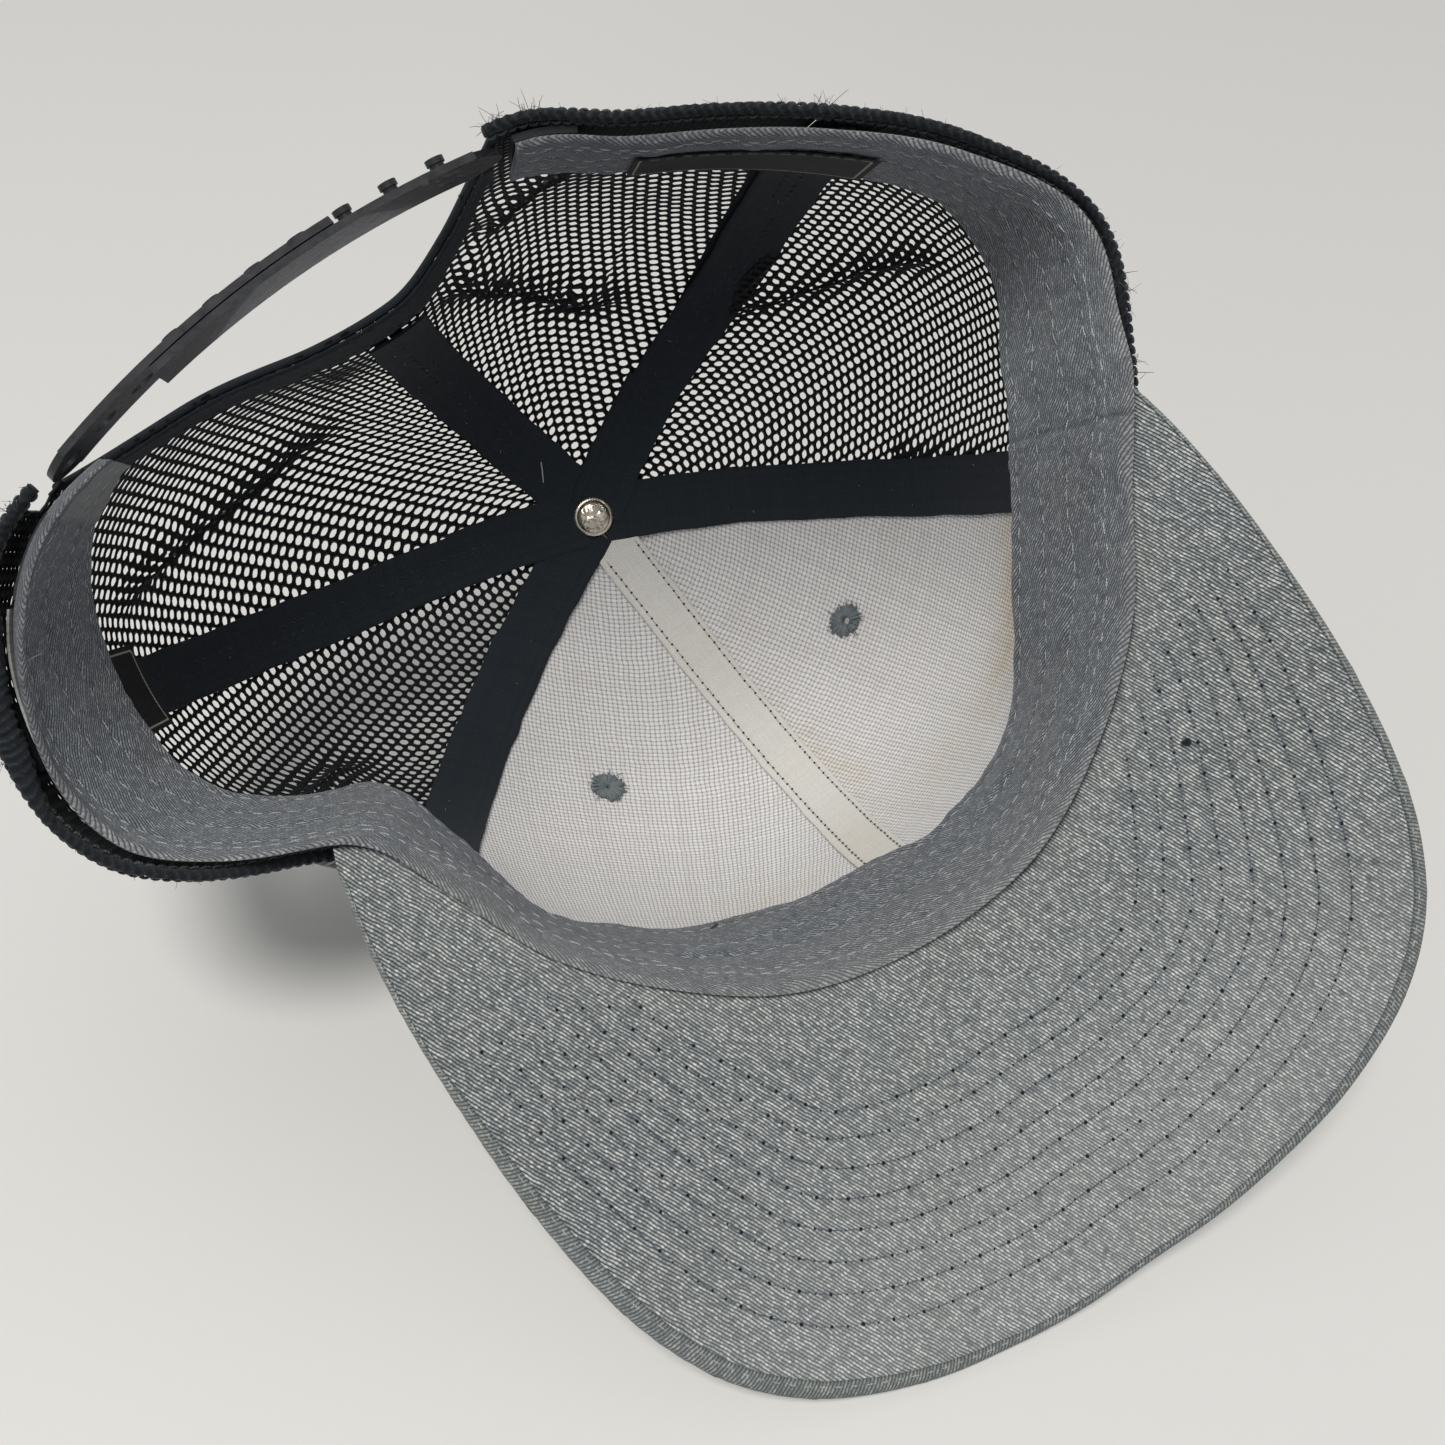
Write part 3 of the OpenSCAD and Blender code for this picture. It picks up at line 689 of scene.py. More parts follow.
def thread(name, dark, pale, rough=0.6, sheen=0.2):
    M = Mat(name)
    u, v, _ = M.sep(M.attr("wv"))
    ply = M.sine((u * 1.0 + v * 1.3) * 11.0)
    tone, _, _ = M.sep(M.attr("aux"))
    fine = M.noise(M.attr("wv"), scale=1.2, detail=2)
    color = M.mix(tone * 0.6 + fine * 0.5, srgb(*dark), srgb(*pale))
    color = M.mix(M.remap(ply, -1, 0.4, to_low=0.35, to_high=0.0), color, (0.0, 0.0, 0.0))
    return M.done(color, rough, M.bump(ply, distance=0.00005), sheen, spec=0.3)


def net_cord():
    M = Mat("black_net")
    cloth = M.attr("wv")
    u, v, w = M.sep(cloth)
    ply = M.sine(u * 14.0 + v * 9.0)
    fibre = M.noise(M.comb(u * 3.0, v, w), scale=2.5, detail=3, rough=0.7)
    tone = fibre * 0.8 + M.noise(cloth, scale=0.12, detail=2) * 0.25
    color = M.ramp(tone, [(0.2, (7, 9, 12)), (0.6, (16, 20, 24)), (0.9, (40, 45, 50))])
    normal = M.bump(ply * 0.4 + fibre, distance=0.00010)
    return M.done(color, rough=0.6, normal=normal, sheen=0.05, spec=0.3)


def strap_plastic():
    M = Mat("strap_plastic")
    coords = M.object_coords()
    stretched = M.comb(*[s * k for s, k in zip(M.sep(coords), (400, 400, 2600))])
    scratches = M.noise(stretched, scale=1.0, detail=3, rough=0.6)
    dust = M.noise(coords, scale=900, detail=4, rough=0.7)
    color = M.ramp(M.noise(coords, scale=60, detail=3), [(0.3, (26, 27, 30)), (0.7, (44, 45, 49))])
    dusty = M.remap(dust, 0.62, 0.78, to_low=0, to_high=0.35)
    color = M.mix(dusty, color, srgb(120, 118, 112))
    rough = M.remap(scratches, 0.3, 0.75, to_low=0.22, to_high=0.48)
    normal = M.bump(scratches, distance=0.00006, strength=0.5)
    return M.done(color, rough, normal, spec=0.55, coat=0.15)


def rivet_nickel():
    M = Mat("rivet_nickel")
    coords = M.object_coords()
    wear = M.noise(coords, scale=500, detail=4, rough=0.65)
    color = M.mix(M.remap(wear, 0.4, 0.7), srgb(244, 236, 222), srgb(212, 199, 178))
    # aux y: brown tarnish and painted shade in the relief's hollows, and painted shade in a ring at
    # the dome's edge
    _, tarnish_and_shade, _ = M.sep(M.attr("aux"))
    color = M.mix(tarnish_and_shade, color, srgb(96, 80, 60))
    rough = M.remap(wear, 0.3, 0.8, to_low=0.16, to_high=0.42)
    pits = M.noise(coords, scale=1400, detail=3, rough=0.6)
    return M.done(color, rough, M.bump(pits, distance=0.00004), metal=1.0)


def hem_braid():
    M = Mat("black_hem_braid")
    u, v, w = M.sep(M.attr("wv"))
    fibre = M.noise(M.comb(u, v * 2.0, w), scale=2.4, detail=4, rough=0.75)
    chain, _, _ = M.sep(M.attr("aux"))
    stops = [(0.25, (9, 12, 15)), (0.6, (27, 32, 37)), (0.95, (74, 80, 86))]
    color = M.ramp(fibre * 0.7 + chain * 0.35, stops)
    return M.done(color, 0.75, M.bump(fibre, distance=0.00016), sheen=0.08, spec=0.25)


def label_satin():
    """wv runs from the lower left corner; aux x is the distance from the label's edge"""
    M = Mat("black_label_satin")
    u, v, _ = M.sep(M.attr("wv"))
    edge, _, _ = M.sep(M.attr("aux"))
    line = M.remap(edge, 0.95, 1.1) * M.remap(edge, 1.45, 1.3)
    rib = M.sine(v * 9.0)
    fibre = M.noise(M.comb(u * 4.0, v * 1.0), scale=2.0, detail=2)
    color = M.mix(M.remap(fibre, 0.3, 0.7), srgb(7, 8, 10), srgb(24, 25, 28))
    dashes = M.remap(M.sine((u + v) * 8.0), -1, 0.2, to_low=0.55, to_high=1.0)
    color = M.mix(line * dashes, color, srgb(176, 172, 160))
    return M.done(color, 0.6, M.bump(rib + fibre, distance=0.00006), sheen=0.03, spec=0.2)


def button_cloth():
    M = Mat("button_cloth")
    cloth = M.attr("wv")
    u, v, _ = M.sep(cloth)
    rib = M.sine((u * 0.8 + v * 0.6) * 9.5)
    fibre = M.noise(cloth, scale=2.5, detail=3, rough=0.7)
    tone = M.remap(rib, -1, 1) * 0.6 + fibre * 0.4
    color = M.mix(tone, srgb(9, 11, 13), srgb(46, 49, 53))
    return M.done(color, 0.75, M.bump(rib + fibre, distance=0.00008), sheen=0.35, spec=0.3)


def visor_board():
    M = Mat("visor_board_plastic")
    grain = M.noise(M.object_coords(), scale=700, detail=4, rough=0.6)
    color = M.mix(grain, srgb(36, 36, 38), srgb(60, 60, 62))
    return M.done(color, 0.6, M.bump(grain, distance=0.00005))


def fibre(name, dark, pale):
    M = Mat(name)
    tone = M.noise(M.attr("wv"), scale=1.0, detail=2)
    return M.done(M.mix(tone, srgb(*dark), srgb(*pale)), 0.8, sheen=0.3)


TWILL_VISOR = twill(
    "heather_twill_visor", (42, 49, 54), (116, 123, 126), (170, 174, 174), (242, 243, 239),
    angle=66, pitch=0.56, float_length=0.8, warm=(0.93, 0.93, 0.87), pale_tip=True)
TWILL_EDGE = twill(
    "heather_twill_edge", (84, 90, 92), (112, 119, 122), (144, 148, 146), (184, 186, 180),
    angle=118, pitch=0.62, float_length=0.9, warm=(0.86, 0.87, 0.78))
TWILL_CROWN = twill(
    "heather_twill_crown", (72, 79, 83), (108, 116, 121), (154, 158, 158), (210, 212, 207),
    angle=58, pitch=0.6, float_length=0.9, warm=(0.95, 0.95, 0.92))
TWILL_BAND = twill(
    "band_twill", (52, 56, 62), (100, 105, 111), (136, 140, 145), (196, 199, 201), angle=32,
    pitch=0.60, float_length=1.0, warm=(0.93, 0.90, 0.83), bump=0.12, sheen=0.15, mixed=0.22)
BUCKRAM = weave(
    "buckram_weave", (140, 135, 133), (226, 223, 222), (254, 253, 253), 0.86, 0.96,
    closed=0.62, stain=(0.86, 0.74, 0.52), bump=0.22, blotch=(0.97, 0.955, 0.93))
PALE_TAPE = weave(
    "pale_tape_weave", (190, 185, 179), (222, 219, 213), (244, 242, 237), 0.42, 0.42,
    stain=(0.88, 0.85, 0.70), bump=0.06, blotch=(0.95, 0.945, 0.92))
BLACK_TAPE = weave("black_tape_weave", (16, 20, 25), (32, 37, 43), (48, 54, 60), 0.36, 0.42,
                   bump=0.07, sheen=0.06, spec=0.2)
BINDING = weave("black_binding_weave", (12, 15, 19), (26, 31, 36), (42, 48, 54), 0.4, 0.46,
                bump=0.08, sheen=0.06, spec=0.2)
BACKING = weave("backing_nonwoven", (150, 150, 148), (196, 196, 192), (224, 224, 220), 1.1, 0.9,
                bump=0.05)
VISOR_THREAD = thread("visor_thread", (84, 97, 110), (122, 133, 142), sheen=0.0)
NEEDLE_HOLE = thread("needle_hole", (18, 24, 34), (34, 42, 54), rough=0.9)
BAND_THREAD = thread("band_thread", (150, 154, 157), (204, 206, 206))
PALE_THREAD = thread("pale_thread", (188, 182, 172), (224, 220, 212))
HEM_THREAD = thread("hem_thread", (40, 45, 49), (92, 97, 101), sheen=0.05)
BLACK_THREAD = thread("black_thread", (18, 22, 26), (66, 71, 76), sheen=0.05)
EYELET_THREAD = thread("eyelet_thread", (96, 108, 112), (152, 162, 164))
NET = net_cord()
PLASTIC = strap_plastic()
NICKEL = rivet_nickel()
HEM = hem_braid()
LABEL = label_satin()
BUTTON = button_cloth()
BOARD = visor_board()
DARK_FIBRE = fibre("dark_fibre", (16, 18, 20), (60, 62, 64))
PALE_FIBRE = fibre("pale_fibre", (150, 152, 152), (206, 206, 204))


# ---------------------------------------------------------------- front panels
def find_eyelet(angle, radius):
    """centre and outward normal of an eyelet"""
    foot = base_z(angle)
    climb = climb_for_radius(angle, foot, radius, lowest=0.0, halvings=24)
    return skin(angle, foot, climb), skin_normal(angle, foot, climb)


EYELETS = [find_eyelet(235.4, 62.6), find_eyelet(301.1, 61.9)]  # right, left
EYELET_CUT = 2.3
# stains of the lining: weight, angle, height, half width, half height
STAINS = [(1.0, 224, 62, 26, 6), (0.55, 261, 97, 5, 7), (0.6, 258.5, 88, 4, 5),
          (0.35, 280, 66, 12, 5), (0.3, 250, 70, 16, 6)]


def panel_grid(start, end, rows, cols, rise=0.0, gap=0.2, top=2.4):
    """angles, feet, climbs, cloth coordinates and radii of a panel, gap short of its seams"""
    f = np.linspace(0, 1, cols + 1)[None, :]
    straight = start + (end - start) * f
    climb, radius = climb_rows(straight, base_z(straight) + rise, top, top, rows + 1, 1.25)
    angle = start + turn(gap, radius) + (end - start - turn(2 * gap, radius)) * f
    foot = base_z(angle) + rise
    middle = arc(skin(angle, foot, climb))[:, cols // 2][:, None]
    reach = middle[-1] + top - middle
    fan = (angle - (start + end) / 2) * DEG * 0.80
    return angle, foot, climb, xyz(reach * np.sin(fan), -reach * np.cos(fan)), radius


def clear_of_eyelets(grid):
    centres = (grid[:-1, :-1] + grid[1:, 1:] + grid[1:, :-1] + grid[:-1, 1:]) / 4
    keep = np.ones(centres.shape[:2], bool)
    for eyelet, _ in EYELETS:
        keep &= np.linalg.norm(centres - eyelet, axis=2) > EYELET_CUT
    return keep


def front_panel(side, start, end):
    angle, foot, climb, cloth, radius = panel_grid(start, end, 150, 110)
    edge = np.minimum((angle - start) * DEG * radius, (end - angle) * DEG * radius)
    puff = np.where(edge < 2.2, 0.25 * np.sin(np.clip(edge / 2.2, 0, 1) * math.pi), 0)
    puff = puff + 0.12 * ripple(angle * 0.4, foot + climb * 90, 2) * ease(edge / 6)
    thickness = 0.45 + 0.45 * (ease(edge / 0.5) * 0.45 + 0.45)  # thinner at the seams
    outer = skin(angle, foot, climb, thickness + puff)
    inner = skin(angle, foot, climb)
    part = Part()
    shell(part, outer, inner, cloth, clear_of_eyelets(inner), xyz(0.5 * bell(edge, 0.7)))
    part.build("front_twill_" + side, [TWILL_CROWN], "front_panel_" + side, "heather_twill", 50)


def lining(side, start, end):
    angle, foot, climb, cloth, radius = panel_grid(start, end, 120, 90, rise=0.8)
    inner = skin(angle, foot, climb, -0.85)
    outer = skin(angle, foot, climb, -0.25)
    z = inner[..., 2]
    stain = sum(
        weight * np.exp(-(((angle - a) * DEG * radius / wide) ** 2) - ((z - height) / tall) ** 2)
        for weight, a, height, wide, tall in STAINS)
    part = Part()
    shell(part, outer, inner, cloth, clear_of_eyelets(inner), xyz(np.clip(stain, 0, 1)))
    part.build("buckram_lining_" + side, [BUCKRAM], "buckram_" + side, "buckram", 50)


# ---------------------------------------------------------------- knitted net
NET_X, NET_Y = 2.28, 2.02  # pitch of the holes across and up
NET_MID, NET_T = 0.55, 1.1  # middle of the net off the crown's surface, thickness of its borders
# creases: (angle, height) points, depth inwards, reach below it, reach of its pull on the net
FOLDS = [
    ([(20, 62), (27, 72), (32, 80), (37, 86), (43, 87.5), (54, 92)], 5.0, 15.0, 4.6),
    ([(84, 66), (90, 70), (94, 75), (103, 84), (112, 91.5), (122, 95), (136, 95)],
     5.5, 14.0, 5.2),
    ([(97, 58), (103, 50), (110, 43), (118, 37)], 3.0, 6.0, 3.4),
    ([(152, 100), (160, 96), (165, 88), (171, 72), (176, 60)], 4.5, 12.0, 4.2),
    ([(201, 98), (203.5, 90), (205, 80), (206, 68)], 2.0, 7.0, 3.2),
    ([(350, 40), (350.5, 54), (350, 70), (349, 84), (345, 97)], 4.2, 9.0, 4.4),
    ([(337, 44), (339, 60), (341, 76), (342, 90)], 2.6, 7.0, 3.8),
]
FOLD_POINTS = 80


def crease_line(points, seed):
    even = np.linspace(0, 1, FOLD_POINTS)
    angle, z = interp_rows(even, np.linspace(0, 1, len(points)), arr(points)).T
    z = z + 1.2 * ripple(np.arange(FOLD_POINTS) * 0.11, 0, seed)
    return polar(radius_at(angle, z), angle, z)


CREASES = [(crease_line(points, k + 200), depth, reach, pull)
           for k, (points, depth, reach, pull) in enumerate(FOLDS)]


def from_ends(index, length):
    """0 at the ends of a crease, 1 from length points inwards"""
    return ease(np.minimum(index, FOLD_POINTS - 1 - index) / length)


def fold(points):
    """depth the net is pushed in, and how far it is drawn along itself towards the creases"""
    depths, drawn = np.zeros(len(points)), np.zeros(points.shape)
    for line, depth, reach, pull in CREASES:
        d2, index = nearest(points, line)
        distance, end = np.sqrt(d2), from_ends(index, 22.0)
        below = np.clip((line[index, 2] - points[:, 2]) / 3.0, -1, 1) * 0.5 + 0.5
        soft = np.exp(-((distance / reach) ** 1.4))
        depths += depth * end * (below * soft + (1 - below) * bell(distance, 3.2))
        drawn += (line[index] - points) * (0.80 * end * bell(distance, pull))[:, None]
    return depths, drawn


def bunched(points, width=0.95):
    """1 on a crease, where the net is gathered and its holes close up"""
    gathered = np.zeros(len(points))
    for line, _, _, pull in CREASES:
        d2, index = nearest(points, line)
        gathered = np.maximum(gathered, np.exp(-d2 / (width * pull) ** 2) * from_ends(index, 14.0))
    return gathered


def slack(points):
    x, y, z = points.T
    return (0.9 * ripple(x * 0.045 + 9, z * 0.05 + y * 0.05, 11)
            + 0.35 * ripple(x * 0.13, z * 0.12 + y * 0.1, 12))


def near_strap(points):
    """true at the left strap's root, which the net leaves free so that the strap can swing"""
    x, y, z = to_row(points).T
    return (x > 0.0826) & (x < 0.0883) & (y > 0.0622) & (z < 0.0087)


def net_cells(part, start, end, beside_front):
    """holes ringed by cord, 12 points round each on a lattice that neighbours share"""
    middle = (start + end) / 2
    foot = base_z(middle)
    climbs = np.linspace(0, 0.9995, 1500)
    spine = arc(crown_point(middle, foot, climbs))
    spine_radii = radius_at(middle, height_at(middle, foot, climbs))

    def locate(x, s):
        """angle, radius and climb at x across and s up the middle"""
        radius = np.interp(s, spine, spine_radii)
        angle = middle + turn(x, np.maximum(radius, 2.0), 57.2958)
        return angle, radius, np.interp(s, spine, climbs)

    def place(x, s, out):
        """point of the slack, creased net"""
        angle, radius, climb = locate(x, s)
        radius = np.maximum(radius, 2.0)
        angle = np.clip(angle, start - 4, end + 4)
        foot = base_z(angle)
        points = crown_point(angle, foot, climb)
        edge = np.minimum((angle - start) * DEG * radius, (end - angle) * DEG * radius)
        above = points[:, 2] - np.maximum(arch(angle % 360), 3) - 4
        free = ease((edge - 1.5) / 7) * ease(above / 9)
        depth, drawn = fold(points)
        out = out - depth * free + slack(points) * free
        return points + drawn * free[:, None] + skin_normal(angle, foot, climb) * out[:, None]

    reach = (end - start) / 2 * DEG * spine_radii.max() + 3
    across = int(reach / NET_X) + 1
    grids = np.meshgrid(np.arange(-across, across + 1), np.arange(int(spine[-1] / NET_Y) + 1),
                        indexing="ij")
    col, row = (g.ravel() for g in grids)
    x, s = col * NET_X, (row + 0.5 + 0.5 * (col % 2)) * NET_Y
    angle, radius, climb = locate(x, s)
    flat = crown_point(angle, base_z(angle), climb)
    margin = turn(0.9, np.maximum(radius, 2))
    ok = (s > 0.2) & (s < spine[-1] - 1) & (radius > 5)
    ok &= (angle > start + margin) & (angle < end - margin)
    ok &= (flat[:, 2] > lower_edge(angle % 360) - 0.4) & ~near_strap(flat)
    col, row, x, s, angle, flat = (v[ok] for v in (col, row, x, s, angle, flat))

    # lattice corners in half pitches across and quarter pitches up
    du = np.array([-1, 0, 1, 1, 1, 1, 1, 0, -1, -1, -1, -1])
    dv = np.array([-2, -2, -2, -1, 0, 1, 2, 2, 2, 1, 0, -1])
    key_u = 2 * col[:, None] + du + 5000
    key_v = (4 * row + 2 + 2 * (col % 2))[:, None] + dv + 5000
    keys = key_u * 100000 + key_v
    unique, corner = np.unique(keys.ravel(), return_inverse=True)
    corner = corner.reshape(keys.shape)
    count = len(unique)
    lattice_u, lattice_v = unique // 100000 - 5000, unique % 100000 - 5000
    cord_x, cord_s = lattice_u * NET_X / 2, lattice_v * NET_Y / 4
    crest = np.where(lattice_u % 2 != 0, 0.36, 0.27)  # higher on the cord lines
    jitter = 0.10 * ripple(cord_x * 0.7, cord_s * 0.6, 21)
    top, bottom = (place(cord_x + jitter, cord_s, NET_MID + side * crest) for side in (1, -1))

    # hole rims; every other column is squarer and leans, as in a tricot net
    odd = (col % 2)[:, None] == 1
    around = np.arctan2(dv / 2, du)[None]
    half_x = np.where(odd, 0.74, 0.82) + 0.05 * ripple(x * 0.9, s * 0.9, 31)[:, None]
    half_y = np.where(odd, 0.60, 0.70) + 0.05 * ripple(x * 0.9 + 50, s * 0.9, 32)[:, None]
    centres = place(x, s, 0.0)
    centre_angle = angle_of(centres)
    above_hem = centres[:, 2] - base_z(centre_angle)
    gather = ease((20 - above_hem) / 4) * ease((centre_angle - 2) / 8) * (centre_angle < 60)
    gather = np.maximum(gather, 0.8 * ease((6.5 - above_hem) / 2.5))
    gather = np.maximum(gather, 0.76 * bunched(flat, 1.15 if beside_front else 0.55))
    if beside_front:  # the strip beside the left front tape is drawn tight
        tight = 0.48 * ease((350 - angle) / 5) * ease((100 - centres[:, 2]) / 25)
        gather = np.maximum(gather, tight)
    opened = 1 - np.maximum(0.80 * bunched(centres), 0.86 * gather)[:, None]
    power = np.where(odd, 0.7, 0.92)
    hole_x = half_x * opened * signed_power(np.cos(around), power)
    hole_y = half_y * opened * signed_power(np.sin(around), power)
    hole_x = (x[:, None] + (hole_x + np.where(odd, 0.34, 0.0) * hole_y)).ravel()
    hole_y = (s[:, None] + hole_y).ravel()
    hole = 2 * count + np.arange(len(col) * 12).reshape(-1, 12)
    next_corner, next_hole = np.roll(corner, -1, axis=1), np.roll(hole, -1, axis=1)
    faces = np.concatenate([
        np.stack([corner, next_corner, next_hole, hole], -1).reshape(-1, 4),
        np.stack([corner + count, hole, next_hole, next_corner + count], -1).reshape(-1, 4),
        walls(np.stack([corner.ravel(), next_corner.ravel()], -1), count)])
    points = np.concatenate([top, bottom, place(hole_x, hole_y, NET_MID)])
    cloth = np.concatenate([xyz(cord_x, cord_s)] * 2 + [xyz(hole_x, hole_y)])
    part.add(points, faces, cloth)


def seam_border(part, seam, side, foot):
    """folded border of the net along a seam, on the side of larger (1) or smaller (-1) angles"""
    climb, radius = climb_rows(seam, foot, 2.6, 2.6, 141, 1.25)
    off = np.array([0.15, 0.5, 1.2, 2.0, 2.8, 3.2])[None]
    height = np.array([0.55, 1.0, 1.1, 1.1, 1.0, 0.62])[None]
    angle = seam + turn(side * off, radius)
    grids = (skin(angle, foot, climb, height), skin(angle, foot, climb, NET_T - height),
             xyz(off * side, np.linspace(0, 1, 141)[:, None] * 150))
    if side < 0:
        grids = [g[:, ::-1] for g in grids]
    shell(part, *grids, mat=1)


def arch_border(part, left):
    """rolled border of the net along its half of the back opening"""
    first, last = (OPEN_L, SEAM[1]) if left else (SEAM[1], OPEN_R)
    u = np.linspace(-1, 1, 4001)
    angle = OPEN_C + u * np.where(u < 0, OPEN_C - OPEN_L, OPEN_R - OPEN_C)
    path = np.stack([angle, np.maximum(arch(angle), 2.2)], -1)
    path = path[(angle >= first) & (angle <= last)]
    if left:
        blocked = np.nonzero(near_strap(skin(path[:, 0], path[:, 1], 0, NET_MID)))[0]
        if len(blocked):
            path = path[blocked[-1] + 1 :]
    lengths = arc(skin(path[:, 0], path[:, 1], 0, NET_MID))
    angle, z = interp_rows(np.linspace(0, lengths[-1], 150), lengths, path).T
    tube(part, skin(angle, z, 0, NET_MID), 0.9, 10, 1, up=skin_normal(angle, z, 0))


def net_panel(name, start, end):
    part = Part()
    net_cells(part, start, end, beside_front=name == "side_mesh_left")
    for seam, side in ((start, 1), (end, -1)):
        over_opening = seam == SEAM[1]
        foot = lower_edge(seam) if over_opening else base_z(seam) + 3.0
        seam_border(part, seam, side, float(foot))
    if name.startswith("back"):
        arch_border(part, name.endswith("left"))
    part.build("net_" + name, [NET, BINDING], name, "black_mesh")


# ---------------------------------------------------------------- seam tapes
# sideways drift of each seam's tape at these radii, and how far it is lifted by those below it
DRIFT_AT = [0, 15, 35, 60, 90]
DRIFT = [[0, 1.2, 1.2, 0.1, -0.8], [0, 1.5, 2.2, 2.2, 2.0], [0, -0.8, -0.2, 3.8, 4.0],
         [0, -1.8, -2.9, -2.0, -0.3], [0, 0, 0, 0, 0], [0, 0.8, 1.1, 0.1, -1.3]]
LAYER = [0.55, 0.42, 0.66, 0.30, 0.0, 0.20]
# name and foot height above the plane z = 0, or None to start 1.5 above the visor's joint
TAPES = [("side_back_seam_tape_left", 6.0), ("back_center_seam_tape", OPEN_H + 10),
         ("side_back_seam_tape_right", 6.0), ("front_side_seam_tape_right", None),
         ("front_center_seam_tape", None), ("front_side_seam_tape_left", None)]


def seam_tape(s, name, foot):
    pale = s == 4
    width = 11.0 if pale else 13.0
    seam = SEAM[s]
    foot = float(base_z(seam) + 1.5) if foot is None else foot
    climb, radius = climb_rows(seam, foot, 7.0 if pale else 1.0, 1.0, 201, 1.3)
    e = np.array([-1, -0.985, -0.94, -0.86, -0.7, -0.5, -0.3, -0.1,
                  0.1, 0.3, 0.5, 0.7, 0.86, 0.94, 0.985, 1])[None]
    drift = np.interp(radius, DRIFT_AT, DRIFT[s])

    def at(lateral, rows, out):
        """points and outward normals at lateral offsets from the seam"""
        r, t, lateral = np.broadcast_arrays(radius[rows], climb[rows], lateral)
        near = r < 34
        angle = seam + np.where(near, np.degrees(np.arctan2(lateral, r)),
                                turn(lateral, r, 57.2958))
        base = base_z(angle)
        t = np.where(near, climb_for_radius(angle, base, np.hypot(r, lateral)), t)
        z = np.where(near, base, foot)
        return skin(angle, z, t, out), skin_normal(angle, z, t)

    def sewing_line(lateral, least_radius, step, start=0.0):
        rows = np.where(radius[:, 0] > least_radius)[0][::-1]
        line, out = at(lateral + drift[rows], rows, -TAPE_IN - TAPE_T)
        line = line[:, 0]
        centres, along, q = march(line, step, start)
        return centres, along, unit(interp_rows(q, arc(line), -out[:, 0])), q

    wiggle = 0.22 * ripple(np.linspace(0, 1, 201)[:, None] * 26, e * 0 + s, 40 + s)
    path, out = at(e * width / 2 + drift + wiggle, np.arange(201), 0.0)
    length = arc(path)
    lift = np.interp(np.abs(e), [0, 0.86, 0.94, 0.985, 1], [0.6, 0.6, 0.56, 0.42, 0.2])
    bulge = 0.10 * ripple(length * 0.12, e * 2 + 3, 50 + s)
    bulge = bulge - 0.10 * bell(np.abs(e) - 0.72, 0.05) * (1 if pale else 0.4)
    depth = TAPE_IN + lift + bulge + LAYER[s] * ease((32 - radius) / 14)
    stain = 0.9 * bell(length - 24, 16) + 0.5 * bell(length - 60, 10)
    part = Part()
    shell(part, path - out * TAPE_IN, path - out * depth[..., None],
          xyz(e * width / 2, length, s * 3.0), aux=xyz(np.clip(stain, 0, 1)) if pale else None)
    mats = [PALE_TAPE if pale else BLACK_TAPE]
    if pale:
        mats += [PALE_THREAD, NEEDLE_HOLE]
        for lateral in (-4.3, 3.75):
            centres, along, normals, _ = sewing_line(lateral, 9, step=1.9)
            jitter = np.cross(along, normals) * RNG.normal(0, 0.04, (len(centres), 1))
            centres = centres + jitter
            stitches(part, centres + normals * 0.05, along, normals, 1.42, 0.155, mat=1)
            knots(part, centres + along * 0.95 + normals * 0.07, normals, 0.30, 0.10, mat=2)
    elif s < 3:
        mats += [BLACK_THREAD]
        for side in (-1, 1):
            centres, along, normals, q = sewing_line(side * 1.3, 10, 2.5, max(side, 0) * 1.25)
            shown = ripple(q * 0.17, side * 0.7 + s * 5.0, 60) > -0.30
            slant = unit(along + side * 0.6 * np.cross(along, normals))
            stitches(part, (centres + normals * 0.10)[shown], slant[shown], normals[shown],
                     1.3, 0.19, mat=1)
    part.build("tape_" + name, mats, name, "pale_tape" if pale else "black_tape", sharp=60)


# ---------------------------------------------------------------- binding round the back opening
def opening_binding():
    width, inset, steps = 9.6, 0.62, 220
    u = np.linspace(-1, 1, steps + 1)
    v = np.sign(u) * (1 - (1 - np.abs(u)) ** 1.6)
    angle = OPEN_C + v * np.where(v < 0, OPEN_C - OPEN_L - 0.6, OPEN_R - 0.6 - OPEN_C)
    edge = np.maximum(arch(angle), 23)
    g = np.array([0, 0.02, 0.07, 0.25, 0.45, 0.62, 0.8, 0.93, 0.98, 1.0])[:, None]
    z = edge[None] - 0.6 + width * g
    thickness = np.interp(g, [0, 0.02, 0.07, 0.93, 0.98, 1], [0.18, 0.45, 0.62, 0.62, 0.45, 0.18])
    wave = 0.12 * ripple(angle[None] * 0.5, g * 3, 70)
    inner = skin(angle[None], z, 0, -inset - thickness - wave)
    part = Part()
    shell(part, skin(angle[None], z, 0, -inset), inner, xyz(arc(inner[4]), g * width))
    for share in (0.14, 0.8):
        z = edge - 0.6 + width * share
        line = skin(angle, z, 0, -1.28)
        centres, along, q = march(line, 2.7)
        index = np.searchsorted(arc(line), q).clip(0, steps)
        stitches(part, centres, along, -skin_normal(angle, z, 0)[index], 2.0, 0.17, mat=1)
    part.build("opening_binding", [BINDING, BLACK_THREAD], "back_opening_binding", "black_tape", 60)


# ---------------------------------------------------------------- braided hem of the net
HEM_TOP, HEM_STEP, HEM_SIDES = 2.95, 0.28, 20


